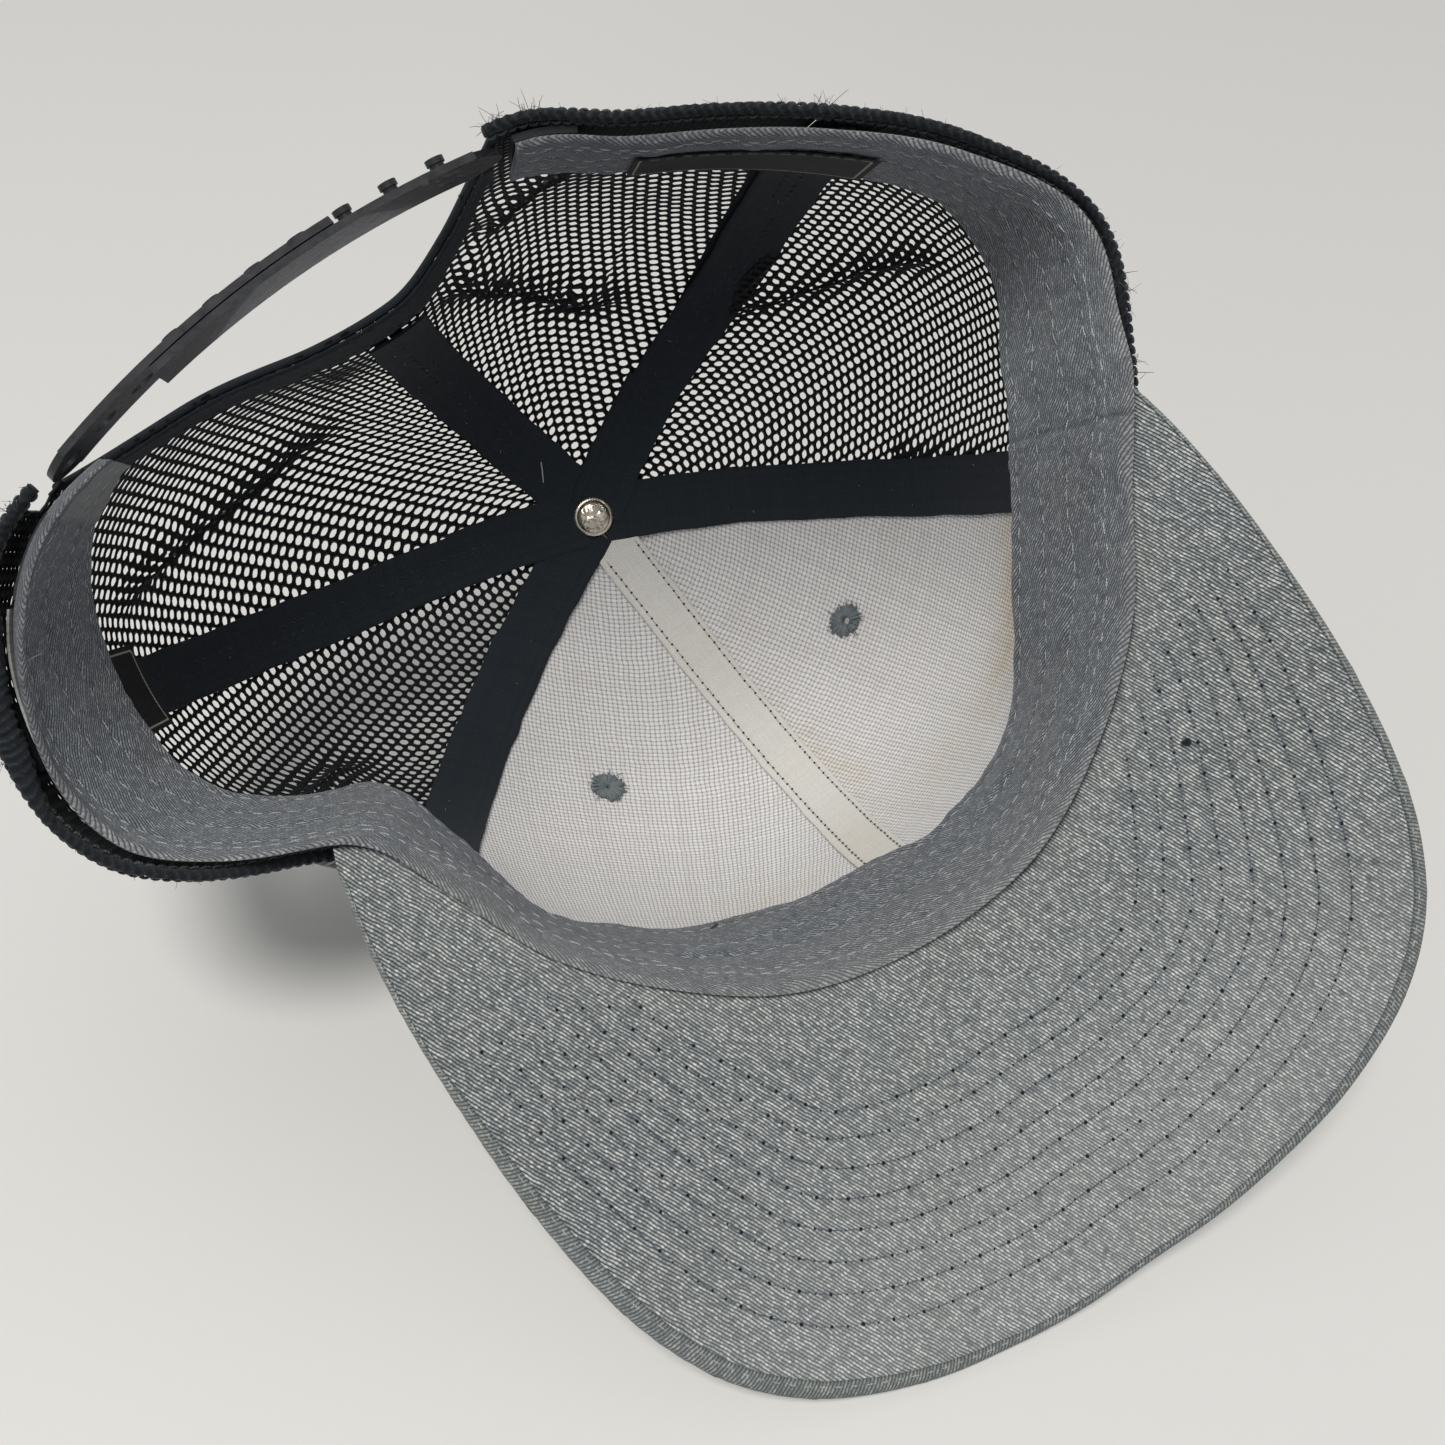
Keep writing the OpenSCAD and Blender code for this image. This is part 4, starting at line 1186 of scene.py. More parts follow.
def hem_run(part, start, end):
    count = int((end - start) * DEG * 92 / HEM_STEP)
    angle = np.linspace(start, end, count)
    base = base_z(angle)
    low = -1.6 + 1.4 * visor_share(angle)
    path = skin(angle, base, 0.0001)
    normals = skin_normal(angle, base, 0.0001)
    length = arc(path)
    # a flattened roll, slimmer towards the right front seam, thick and inset near the left strap
    slim = (1 - 0.45 * ease((angle - 166) / 12) * (angle < 215))[:, None]
    thick = (ease((angle - 364) / 9) * ease((389 - angle) / 6))[:, None]
    half_z = ((HEM_TOP - low) / 2 * (0.75 + 0.25 * slim[:, 0]))[:, None]
    middle_out = 0.85 - 0.1 * slim - 1.3 * thick
    half_out = 1.12 * slim + 1.45 * thick
    s, turned = np.meshgrid(length, np.arange(HEM_SIDES) / HEM_SIDES * 2 * math.pi, indexing="ij")
    # chevrons of a chain stitch on the outer and inner faces
    lean = np.abs(((turned + math.pi / 2) % math.pi) - math.pi / 2) / (math.pi / 2)
    phase = s / 1.75 + lean * 0.75 + 0.35 * ripple(s * 0.25, 0, 82)
    chain = 0.5 + 0.5 * np.cos(2 * math.pi * phase)
    ridge = (0.24 * chain**1.5 - 0.12) * (0.7 + 0.6 * ripple(s * 0.35, turned, 83))
    ridge = ridge + 0.24 * ripple(s * 1.1, turned * 2, 80)
    swell = 0.92 * (1 + (ridge - 0.30 * bell(lean, 0.16)) / 1.5)
    out = middle_out + 0.22 * ripple(s * 0.11, 0, 81)
    out = out + half_out * swell * signed_power(np.cos(turned), 0.8)
    points = path[:, None] + normals[:, None] * out[..., None]
    middle_z = base[:, None] + ((low + HEM_TOP) / 2)[:, None]
    points[..., 2] = middle_z + half_z * swell * signed_power(np.sin(turned), 0.8)
    faces = [wrap_faces(count, HEM_SIDES), end_fans(count, HEM_SIDES)]
    part.add(points, faces, xyz(s, turned * 1.2), xyz(chain))
    # chain stitches on the inner side and the lower edge: distance out, height, side they face
    for out, z, facing in ((-0.35, 1.2, -1.0), (1.75, 0.6, 1.0)):
        line = path + normals * out
        line[:, 2] = base + np.maximum(z, low + 0.3)
        centres, along, q = march(line, 1.9)
        face = normals[np.searchsorted(length, q).clip(0, count - 1)] * facing
        for leg in (-1, 1):
            stitches(part, centres + xyz(0, 0, 0.28 * leg) + face * 0.12,
                     unit(along + xyz(0, 0, 0.30 * leg)), face, 1.9, 0.24, mat=1)


def braided_hem():
    part = Part()
    hem_run(part, OPEN_R - 1.6, SEAM[3] - 0.3)
    hem_run(part, SEAM[5] + 0.3, 361 + OPEN_L)
    part.build("braided_hem", [HEM, HEM_THREAD], "mesh_hem", "black_hem")


# ---------------------------------------------------------------- sweatband
BAND_START, BAND_END = 103.0, 398.0
BAND_ROWS = [0.925, 0.70, 0.455, 0.20]  # stitch rows, as shares of the height
# angle and how far the band's rim edge stands out there
FLARE = arr([(103, 0.6), (112, 1.0), (150, 1.0), (166, 1.9), (178, 2.9), (206, 2.9), (216, 2.5),
             (262, 2.2), (290, 2.8), (325, 3.3), (338, 2.6), (347, 1.5), (360, 0.9), (372, -0.8),
             (383, -3.0), (392, -3.0), (398, -2.0)])
# waves of the free edge: height, angle, half width
EDGE_WAVES = [(-2.8, 261, 6), (0.2, 250, 7), (3.0, 235, 8), (4.6, 294, 15), (3.2, 304, 6),
              (-7.5, 315.5, 7), (0.9, 226, 10), (1.1, 220, 9), (-0.9, 273, 8), (1.6, 284, 5),
              (2.8, 302, 6), (-1.6, 314.5, 4), (5.0, 347, 7.5)]


def sewn_points():
    """points over the faces of the straps and their sewn ends, in cap millimetres"""
    points = []
    for item in bpy.data.objects:
        named = any(word in item.name for word in ("strap", "sewn", "tab"))
        if item.type != "MESH" or not named or "shape" in item.name:
            continue
        world = np.array(item.matrix_world)
        corners = np.array([v.co[:] for v in item.data.vertices])
        corners = corners @ world[:3, :3].T + world[:3, 3]
        for face in item.data.polygons:
            ring = corners[list(face.vertices)]
            centre = ring.mean(0)
            for a, b in zip(ring, np.roll(ring, -1, axis=0)):
                for inwards in (0.0, 0.35, 0.7):
                    for share in (0.0, 0.25, 0.5, 0.75):
                        edge = a * (1 - share) + b * share
                        points.append(edge * (1 - inwards) + centre * inwards)
    return np.array(points) * 1000 @ ROW_TURN


def clear_straps(inner, F):
    """moves the band's inner face inwards so that it covers the straps' ends"""
    sewn = sewn_points()
    sewn = xyz(angle_of(sewn), radius_of(sewn), sewn[:, 2])
    angles, radii = angle_of(inner), radius_of(inner)
    for first, last in ((0, 46), (92, 130)):
        near = (angles > first) & (angles < last)
        inside = (sewn[:, 0] > first - 2) & (sewn[:, 0] < last + 2)
        points = sewn[inside & (sewn[:, 2] < 33) & (sewn[:, 2] > -4)]
        if len(points) == 0 or not near.any():
            continue
        points = points[:: max(1, len(points) // 4000)]
        angle, z = angles[near], inner[..., 2][near]
        limit = np.full(len(angle), 1e9)
        for k in range(0, len(points), 500):  # in blocks, to save memory
            block = points[None, k : k + 500]
            across = (angle[:, None] - block[..., 0]) * DEG * 95
            up = z[:, None] - block[..., 2]
            allowed = block[..., 1] - 0.55 + 0.10 * (across**2 + up**2)
            limit = np.minimum(limit, allowed.min(1))
        move = np.maximum(radii[near] - limit, 0) * ease(F[near] / 0.03)
        inner[..., 0][near] -= move * np.cos(angle * DEG)
        inner[..., 1][near] -= move * np.sin(angle * DEG)


def sweatband():
    cols, rows = ((620, 84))
    angles = np.linspace(BAND_START, BAND_END, cols + 1)
    length = arc(band_point(angles, 0.5))
    shares = np.concatenate([np.linspace(0, 0.06, 9)[:-1], np.linspace(0.06, 0.95, rows - 14),
                             np.linspace(0.95, 1, 7)[1:]])
    TH, F = np.meshgrid(angles, shares)
    SL = np.broadcast_to(length[None], TH.shape)

    def length_at(angle):
        return np.interp(angle, angles, length)

    def bump_at(angle, width):
        return bell(SL - length_at(angle), width)

    def row_share(k, s):
        return BAND_ROWS[k] + 0.012 * ripple(s * 0.06, k * 3.0, 90) + 0.006 * ripple(
            s * 0.3, k * 3.0, 91)

    distance = np.full(TH.shape, 9.0)
    for k in range(4):
        distance = np.minimum(distance, np.abs(F - row_share(k, SL)) * BAND_H)
    pucker = -0.20 * bell(distance, 0.75) * (1 + 0.5 * ripple(SL * 0.5, F * 3, 92))
    front = ease((SL - length_at(236)) / 30) * ease((length_at(345) - SL) / 30)
    crinkle = (0.42 * ripple(SL * 0.16, F * 5.0, 93) * ease((1 - F) * 6 + 0.3)
               + 0.22 * ripple(SL * 0.5 + F * 6, F * 7, 94)
               + 0.30 * front * ripple(SL * 0.10 - F * 2.0, F * 9, 88))
    # a step near the right front seam, and a raised flap at the left end
    slope = (1 - F) * 1.4
    pleat = (0.55 * ease((SL - length_at(202.6) + slope) / 1.2)
             * ease((length_at(213) - SL) / 16))
    flap = ease((SL - length_at(391.5)) / 0.6)
    wave = 0.8 * ripple(SL * 0.055, 0 * F, 95) + 0.55 * ripple(SL * 0.14, 0 * F, 96)
    wave = wave + sum(height * bump_at(a, width) for height, a, width in EDGE_WAVES)
    thickness = BAND_T * round_off((F - 0.975) / 0.025, 0.02) * round_off((0.03 - F) / 0.03, 0.02)
    flare = np.interp(TH, *FLARE.T) * np.clip(1 - F / 0.15, 0, 1) ** 1.6
    relief = (pucker + crinkle + pleat + 0.25 * bell(F - 0.03, 0.022)
              + 0.9 * flap * ease(F * 12) * ease((1 - F) * 12))
    waved = F + wave / BAND_H * ease((F - 0.75) * 4) * 0.9
    middle = flare - BAND_T / 2
    relief = relief * ease(F / 0.02) * ease((1 - F) / 0.02)
    inner = band_point(TH, waved, middle - thickness / 2 - relief)
    outer = band_point(TH, waved, middle + thickness / 2)
    sink = ((0.9 - 0.75 * ease((TH - 255) / 25)) * np.clip(1 - F / 0.15, 0, 1) ** 1.5
            * visor_share(TH))
    inner[..., 2] -= sink
    outer[..., 2] -= sink
    clear_straps(inner, F)

    up = arc(band_point(TH, waved, flare), weight=np.where(F[1:] < 0.15, 1.6, 1.0))
    rubbed = (0.30 * bell(F, 0.022) + 0.2 * bell(F - 1, 0.02) + 0.62 * flap * ease(F * 4)
              + 0.16 * front * ease((0.55 - F) / 0.3))
    shaded = (0.8 * bump_at(391.6, 0.35) + 0.30 * bell(distance, 0.4)
              + 0.5 * bell(SL - length_at(202.4) + slope, 0.5)
              + 0.46 * bell(TH - 121, 22) * (1 - 0.4 * F)
              + 0.40 * ease((TH - 360) / 10) * np.clip(1 - F / 0.16, 0, 1))
    part = Part()
    shell(part, outer, inner, xyz(SL, up), aux=xyz(rubbed, shaded))

    def sew_row(share, stitch, radius, start):
        """stitches laid on the inner face at a share of the height"""
        at = np.interp(share, shares, np.arange(rows))
        low = np.clip(np.floor(at).astype(int), 0, rows - 2)
        rest = (at - low)[:, None]
        column = np.arange(cols + 1)
        line = inner[low, column] * (1 - rest) + inner[low + 1, column] * rest
        line = line - xyz(np.cos(angles * DEG), np.sin(angles * DEG)) * 0.03
        centres, along, q = march(line, 3.3, start)
        lengths = arc(line)
        angle, f = np.interp(q, lengths, angles), np.interp(q, lengths, share)
        across = band_point(angle + 0.15, f) - band_point(angle - 0.15, f)
        upwards = band_point(angle, f + 0.01) - band_point(angle, f - 0.01)
        normals = -unit(np.cross(across, upwards))
        stitch = stitch * (1 + 0.18 * ripple(q * 1.7, 0 * q, 97))
        stitches(part, centres, along, normals, stitch, radius, mat=1)

    for k in range(4):
        sew_row(row_share(k, length), stitch=2.5, radius=0.14, start=k * 0.9)
    near_rim = 0.115 + 0.006 * ripple(length * 0.2, 0, 98)
    sew_row(near_rim, stitch=2.3, radius=0.15, start=0.4)
    part.build("sweatband_twill", [TWILL_BAND, BAND_THREAD], "sweatband", "band_twill", sharp=70)


def band_backing():
    TH, F = np.meshgrid(np.linspace(115, 384, 240), np.linspace(0.12, 0.8, 10))
    wave = 0.08 * ripple(TH * 0.6, F * 9, 99)
    part = Part()
    shell(part, band_point(TH, F, 0.95 + wave * 0.5), band_point(TH, F, 0.5),
          xyz(TH * 1.4, F * BAND_H))
    part.build("band_backing", [BACKING], "sweatband_backing", "backing", sharp=60)


# ---------------------------------------------------------------- visor
VISOR_X = -2  # middle of the visor
# outline from a corner to near the tip: distance from the middle, y
VISOR_HALF = [[82.0, -19], [84.6, -32], [86.0, -47], [86.3, -62], [85.8, -80], [83.5, -99.6],
              [79.2, -115.8], [71.8, -129.9], [60.6, -141.4], [45.4, -150.3], [30.2, -155.2],
              [15.1, -157.9]]
VISOR_TIP_Y = -158.2
OUTLINE_KNOTS = arr([[VISOR_X - x, y] for x, y in VISOR_HALF] + [[VISOR_X, VISOR_TIP_Y]]
                    + [[VISOR_X + x, y] for x, y in VISOR_HALF[::-1]])
STITCH_ROWS, ROW_FIRST, ROW_PITCH = 8, 11.5, 5.1  # rows follow the outline at these insets
EDGE_ROUND, EDGE_CURL = 1.9, 1.85
TOP_Z, SPLIT_LOW, SPLIT_HIGH, COVER_T = 3.7, 1.84, 1.86, 0.7
OUTLINE_STEPS = 1600


def outline_at(f):
    """point of the outline, f from 0 at the right corner to 1 at the left"""
    last = len(OUTLINE_KNOTS) - 1
    w = np.clip(f, 0, 0.99999) * last
    i = np.floor(w).astype(int)
    knots_ = [OUTLINE_KNOTS[k] for k in (np.maximum(i - 1, 0), i, i + 1, np.minimum(i + 2, last))]
    return catmull(*knots_, (w - i)[..., None])


def inwards(path):
    along = unit(np.gradient(path, axis=0))
    side = np.stack([-along[:, 1], along[:, 0]], -1)
    towards = ((arr([VISOR_X, -60]) - path) * side).sum(1, keepdims=True) > 0
    return np.where(towards, side, -side)


OUTLINE = outline_at(np.linspace(0, 1, OUTLINE_STEPS + 1))
OUTLINE_IN = inwards(OUTLINE)


def inset_of(plan):
    """distance in plan to the outline, and the index of the nearest outline point"""
    best, which = nearest(plan, OUTLINE, 4)
    for offset in (-3, -2, -1, 1, 2, 3):
        index = np.clip(which + offset, 0, OUTLINE_STEPS)
        d2 = ((plan - OUTLINE[index]) ** 2).sum(1)
        closer = d2 < best
        best[closer] = d2[closer]
        which[closer] = index[closer]
    return np.sqrt(best), which


def side_narrowing(y):
    """rows lie closer together towards the corners"""
    return 1 - 0.30 * ease((y + 112) / 55)


def strip_width(index):
    """width of the turned edge under the visor along the outline"""
    return np.interp(index / OUTLINE_STEPS,
                     [0, 0.08, 0.2, 0.32, 0.42, 0.5, 0.57, 0.66, 0.76, 0.84, 0.9, 1],
                     [0.9, 1.0, 1.8, 2.7, 2.1, 1.6, 2.0, 3.2, 3.5, 2.9, 1.3, 0.9])


def curl(inset):
    """how far the rounded edge leaves a face's level"""
    return EDGE_CURL * (1 - round_off(1 - inset / EDGE_ROUND))


def turned_edge(part):
    """edge of the top cover, folded under"""
    f = np.linspace(0.004, 0.996, 700)
    path = outline_at(f)
    index = f * OUTLINE_STEPS
    length = np.interp(index, np.arange(OUTLINE_STEPS + 1), arc(OUTLINE))
    width = strip_width(index) + 0.12 * ripple(length * 0.15, 0, 110)
    g = np.array([0, 0.06, 0.14, 0.26, 0.42, 0.6, 0.78, 0.9, 0.96, 1.0])[:, None]
    inset = g * width[None]
    plan = path[None] + inwards(path)[None] * inset[..., None]
    thickness = 0.34 * np.interp(g, [0, 0.14, 0.9, 0.96, 1], [0.15, 1, 1, 0.75, 0.15])
    wave = 0.04 * ripple(length[None] * 0.4, g * 4, 111)
    lower = on_visor(plan, np.minimum(curl(inset), 1.8) - thickness - wave)
    upper = on_visor(plan, np.minimum(curl(inset) + 0.2, SPLIT_LOW))
    aux = xyz(0.55 * bell(inset, 0.6), 0.35 * bell(inset - width, 0.25))
    shell(part, lower, upper, xyz(length, inset, 9), aux=aux, mat=1)


def visor_covers():
    cols, rows = ((420, 110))
    f = np.linspace(0, 1, cols + 1)[None]
    g = (1 - (1 - np.linspace(0, 1, rows + 1)) ** 1.5)[:, None]
    root = rim_plan(198 + 148 * f, -1.0)
    plan = root + (outline_at(f) - root) * g[..., None]
    inset, index = (v.reshape(plan.shape[:2]) for v in inset_of(plan.reshape(-1, 2)))
    x, y = plan[..., 0], plan[..., 1]
    narrow = side_narrowing(y)
    phase = (inset - ROW_FIRST * narrow) / (ROW_PITCH * narrow)
    row = np.clip(np.round(phase), 0, STITCH_ROWS - 1)
    from_row = np.abs(phase - row) * ROW_PITCH * narrow
    shown = ease((-56 - y) / 14)
    dimple = 0.20 * bell(from_row, 0.55) * shown * (0.75 + 0.25 * np.cos(2 * math.pi * x / 2.4))
    quilt = 0.05 * np.cos(2 * math.pi * phase) * shown * (phase > -0.5) * (phase < 7.5)
    soft = 0.22 * ripple(x * 0.045, y * 0.045, 101) + 0.06 * ripple(x * 0.2, y * 0.2, 102)
    over_strip = 0.15 * ease((strip_width(index) - inset) / 0.6 + 0.5)
    under = (dimple - quilt - 0.5 * np.abs(soft)) * ease(inset / 3) * 0.9
    under = np.minimum(curl(inset) + under + over_strip, 1.80)
    top = TOP_Z - curl(inset) - (dimple * 0.8 - quilt) * ease(inset / 3)
    cloth = xyz(x, y)
    # aux: x rubbed edges, y painted shade along the stitch rows, z paler towards the tip
    aux = xyz(0.5 * bell(inset, 0.5) + 0.18 * np.exp(-((g * 9) ** 2)),
              0.20 * bell(from_row, 0.40) * shown, 0.42 * ease((-y - 88) / 55))

    part = Part()
    shell(part, on_visor(plan, np.minimum(under + COVER_T, SPLIT_LOW)), on_visor(plan, under),
          cloth, aux=aux)
    part.build("visor_underside", [TWILL_VISOR], "visor_under_cover", "heather_twill", sharp=75)

    part = Part()
    shell(part, on_visor(plan, top), on_visor(plan, np.maximum(top - COVER_T, SPLIT_HIGH)),
          cloth + xyz(0, 0, 5.0), aux=aux)
    turned_edge(part)
    part.build("visor_topside", [TWILL_VISOR, TWILL_EDGE], "visor_top_cover", "heather_twill",
               sharp=75)

    part = Part()
    inside = inset > 1.3
    keep = inside[:-1, :-1] & inside[1:, 1:] & inside[1:, :-1] & inside[:-1, 1:]
    shell(part, on_visor(plan, 2.7), on_visor(plan, 1.0), cloth, keep=keep)
    part.build("visor_board_core", [BOARD], "visor_board", "visor_board", sharp=40)


def visor_stitching():
    part = Part()
    for k in range(STITCH_ROWS):
        inset = ROW_FIRST + ROW_PITCH * k
        line = OUTLINE
        for _ in range(3):
            line = OUTLINE + OUTLINE_IN * (inset * side_narrowing(line[:, 1]))[:, None]
        # leave out parts of the row that fold back on themselves or run into the band
        good = radius_of(line) > at_angle(RIM, angle_of(line)) + 1.5
        good &= (line[:, 1] < -57) & (inset_of(line)[0] > inset * side_narrowing(line[:, 1]) - 0.7)
        index = np.where(good)[0]
        if len(index) < 20:
            continue
        line = line[index[0] : index[-1] + 1]
        for z, facing in ((0.08, -1), (3.62, 1)):
            centres, along, _ = march(on_visor(line, z), 2.9, start=0.5 * k)
            count = len(centres)
            normal = xyz(0, -0.25 * facing, facing)
            centres = centres + RNG.normal(0, 0.06, (count, 3)) * [1, 1, 0]
            stitches(part, centres + normal * 0.05, along, normal,
                     length=2.35 + RNG.normal(0, 0.08, count), radius=0.13, dip=1.3)
            size = 0.20 + 0.16 * (np.arange(count) % 2) + 0.06 * RNG.random(count)
            knots(part, centres + along * 1.45 + normal * 0.10, normal, size, 0.12, mat=1)
    # one row near the edge on each face: height, side it faces, inset
    points = OUTLINE_STEPS + 1
    under_inset = np.maximum(strip_width(np.arange(points)) * 0.72, 0.75)
    for z, facing, inset in ((-0.30, -1, under_inset), (3.72, 1, np.full(points, 2.6))):
        line = (OUTLINE + OUTLINE_IN * inset[:, None])[12:-12]
        path = on_visor(line, z - facing * curl(inset[12:-12]))
        centres, along, _ = march(path, 2.9)
        stitches(part, centres, along, xyz(0, 0.2, facing), length=2.1, radius=0.14, mat=2)
    # knot of dark thread under the visor
    knot = on_visor(arr([[-59.0, -83.0]]), -0.15)
    knots(part, knot, (0, 0, -1), 0.85, 0.5, mat=1)
    knots(part, knot + [0.7, 0.3, 0.05], (0, 0, -1), 0.5, 0.35, mat=1)
    part.build("visor_stitching", [VISOR_THREAD, NEEDLE_HOLE, BAND_THREAD], slot="heather_twill")


def visor_piping():
    """thin welt between the visor and the sweatband"""
    part = Part()
    tube(part, on_visor(rim_plan(np.linspace(198.5, 345.5, 500), -1.1), 0.12), 0.32, 8)
    part.build("visor_seam_piping", [TWILL_BAND], slot="band_twill")


# ---------------------------------------------------------------- topstitching outside the crown
def crown_topstitching():
    part = Part()
    for s, seam in enumerate(SEAM):
        foot = OPEN_H + 3 if s == 1 else float(base_z(seam) + 4)
        climb = np.linspace(0, float(climb_for_radius(seam, foot, 9)), 260)
        z = height_at(seam, foot, climb)
        for side in (-1, 1):
            on_net = s < 3 or (s, side) in ((3, -1), (5, 1))
            angle = seam + turn(side * 2.4, radius_at(seam, z))
            centres, along, _ = march(skin(angle, foot, climb, 1.24 if on_net else 1.02), 2.9)
            normals = skin_normal(seam, foot, np.interp(centres[:, 2], z, climb))
            stitches(part, centres, along, normals, 2.1, 0.17, mat=0 if on_net else 1)
    part.build("crown_topstitching", [BLACK_THREAD, BAND_THREAD], slot="black_tape")


# ---------------------------------------------------------------- button, rivet, eyelets
def lathe(profile, sides):
    """grids of radius, angle and height of a turned shape"""
    radii, heights = arr(profile).T
    ring = np.arange(sides) / sides * 2 * math.pi
    radius, angle = np.meshgrid(radii, ring, indexing="ij")
    return radius, angle, np.broadcast_to(heights[:, None], radius.shape)


def button():
    sides = 72
    dome = [(7.7 * math.cos(a) ** 0.72, 0.75 + 4.2 * math.sin(a) ** 0.92)
            for a in np.linspace(0.15, 1.5, 22)]
    profile = [(7.2, 0.0), (7.62, 0.35), (7.72, 0.9), *dome, (0.02, 4.95)]
    radius, angle, z = lathe(profile, sides)
    pleats = 0.10 * np.cos(angle * 14 + 2 * np.sin(angle * 3)) * bell(z - 0.6, 1.6)
    radius = radius + pleats * (radius > 3)
    x, y = radius * np.cos(angle), radius * np.sin(angle)
    part = Part()
    faces = [wrap_faces(len(profile), sides)[:, [0, 3, 2, 1]],
             end_fans(len(profile), sides)[:, [0, 2, 1]]]
    part.add(xyz(x, y + BUTTON_Y, CROWN_H + 1.4 + z + 0.05 * ripple(x, y, 120)), faces)
    part.build("button_cover", [BUTTON], "crown_button", "button_cover", sharp=60)


def rivet():
    """rivet under the button, its dome facing down into the crown with a worn relief"""
    sides, rim = 96, 3.72
    top = CROWN_H - TAPE_IN - TAPE_T - 0.3
    dome = [(rim * math.cos(a), -0.98 - 1.25 * math.sin(a)) for a in np.linspace(0.08, 1.52, 26)]
    profile = [(1.5, TAPE_IN + 3.4), (1.5, 0.15), (4.1, 0.15), (4.4, 0.0), (4.52, -0.30),
               (4.46, -0.62), (4.22, -0.86), (3.92, -0.98), (rim, -0.96), *dome, (0.02, -2.23)]
    radius, angle, z = lathe(profile, sides)
    x, y = radius * np.cos(angle), radius * np.sin(angle)
    on_dome = ((radius < 3.6) & (z < -0.5)).astype(float)
    relief = 0.26 * bell(y - 0.7 * np.sin(x * 1.1) + 0.5, 0.42)  # raised wave
    # pebbles: height, x, y, spread
    pebbles = [(0.22, 0.8, 1.6, 0.5), (0.2, -1.7, -0.4, 0.35), (0.16, -0.9, 2.2, 0.3)]
    for height, px, py, spread in pebbles:
        relief = relief + height * np.exp(-(((x - px) ** 2 + (y - py) ** 2) / spread))
    relief = relief + 0.10 * ripple(x * 1.6, y * 1.6, 130) + 0.05 * ripple(x * 4, y * 4, 131)
    relief = 0.7 * relief * on_dome * ease((3.6 - radius) / 0.5)
    # darker in the relief's hollows (tarnish and painted shade), and a ring of painted shade at the
    # dome's edge
    tarnish_and_shade = on_dome * np.clip(0.45 - relief * 3.2, 0, 1) * 0.55
    tarnish_and_shade = tarnish_and_shade + 0.4 * bell(radius - rim, 0.16) * (z < -0.5)
    part = Part()
    faces = [wrap_faces(len(profile), sides)[:, ::-1], end_fans(len(profile), sides)]
    part.add(xyz(x, y + BUTTON_Y, top + z - relief), faces, aux=xyz(0, tarnish_and_shade))
    part.build("rivet_dome", [NICKEL], "button_rivet", "rivet_metal")


def eyelet(side, centre, normal, hole):
    """embroidered ring: radial stitches over a solid ring, with loose ends inside the cap"""
    part = Part()
    inside, outside = -1.3, 1.25  # faces of the ring, measured along the normal
    across = unit(np.cross(normal, [0, 0, 1.0]))
    upwards = np.cross(normal, across)

    def radial(angle):
        return np.multiply.outer(np.cos(angle), across) + np.multiply.outer(np.sin(angle), upwards)

    count = 46
    for k in range(count):
        angle = k / count * 2 * math.pi + RNG.normal(0, 0.03)
        reach = 3.25 + 0.75 * RNG.random() ** 2 + 0.35 * math.sin(2 * angle + 1.1)
        loop = [(reach, outside - 0.15), (2.9, outside + 0.30), (2.0, outside + 0.32),
                (hole + 0.2, outside + 0.05), (hole, 0.3), (hole, -0.4),
                (hole + 0.2, inside - 0.05), (2.0, inside - 0.34), (2.9, inside - 0.32),
                (reach + 0.1, inside + 0.05)]
        path = [centre + radial(angle if h > 0 else angle + 0.09) * r + normal * h
                for r, h in loop]
        tube(part, path, 0.20 + 0.03 * RNG.random(), aux=[RNG.random(), 0, 0])
    sides = 40
    directions = radial(np.arange(sides) / sides * 2 * math.pi)
    section = [(hole + 0.12, outside - 0.1), (3.0, outside + 0.05), (3.0, 0.9), (2.15, 0.85),
               (2.15, -0.9), (3.0, -0.92), (3.0, inside - 0.05), (hole + 0.12, inside + 0.1)]
    points = np.array([centre + directions * r + normal * h for r, h in section])
    part.add(points, wrap_faces(len(section) + 1, sides) % (len(section) * sides))
    s = np.linspace(0, 1, 6)[:, None]
    for _ in range(16):
        out = radial(RNG.random() * 2 * math.pi)
        bend = np.cross(out, normal) * RNG.normal(0, 0.6)
        end = out * (3.0 + s * (0.8 + 1.1 * RNG.random()))
        tube(part, centre + end + bend * s**2 + normal * (inside - 0.25 - 0.3 * s), 0.10, 4)
    part.build("eyelet_stitching_" + side, [EYELET_THREAD], "eyelet_" + side, "eyelet_thread")


# ---------------------------------------------------------------- labels
def label(place, width, height):
    """woven label; place(u, v, d) gives the point at u across, v up and d towards the inside"""
    part = Part()
    U, V = np.meshgrid(np.linspace(0, 1, 60), np.linspace(0, 1, 30))
    x, y = U * width, V * height
    edge = np.minimum(np.minimum(U, 1 - U) * width, np.minimum(V, 1 - V) * height)
    half = 0.25 * round_off(1 - edge / 0.4, 0.04)
    wave = 0.06 * ripple(x * 0.2, y * 0.2, 140)
    shell(part, place(U, V, -half), place(U, V, half + wave), xyz(x, y), aux=xyz(edge))
    return part


def band_label():
    def place(u, v, d):
        return band_point(122 + 36 * u, 0.36 + 0.60 * v, -BAND_T - 0.5 - d)

    part = label(place, 47.0, 19.2)
    for v in (0.03, 0.97):
        centres, along, _ = march(place(np.linspace(0.01, 0.99, 120), v, 0.30), 3.0)
        inward = -unit(xyz(centres[:, 0], centres[:, 1] - BUTTON_Y))
        stitches(part, centres, along, inward, 2.1, 0.16, mat=1)
    part.build("band_label", [LABEL, BLACK_THREAD], "woven_label", "label_weave", sharp=60)


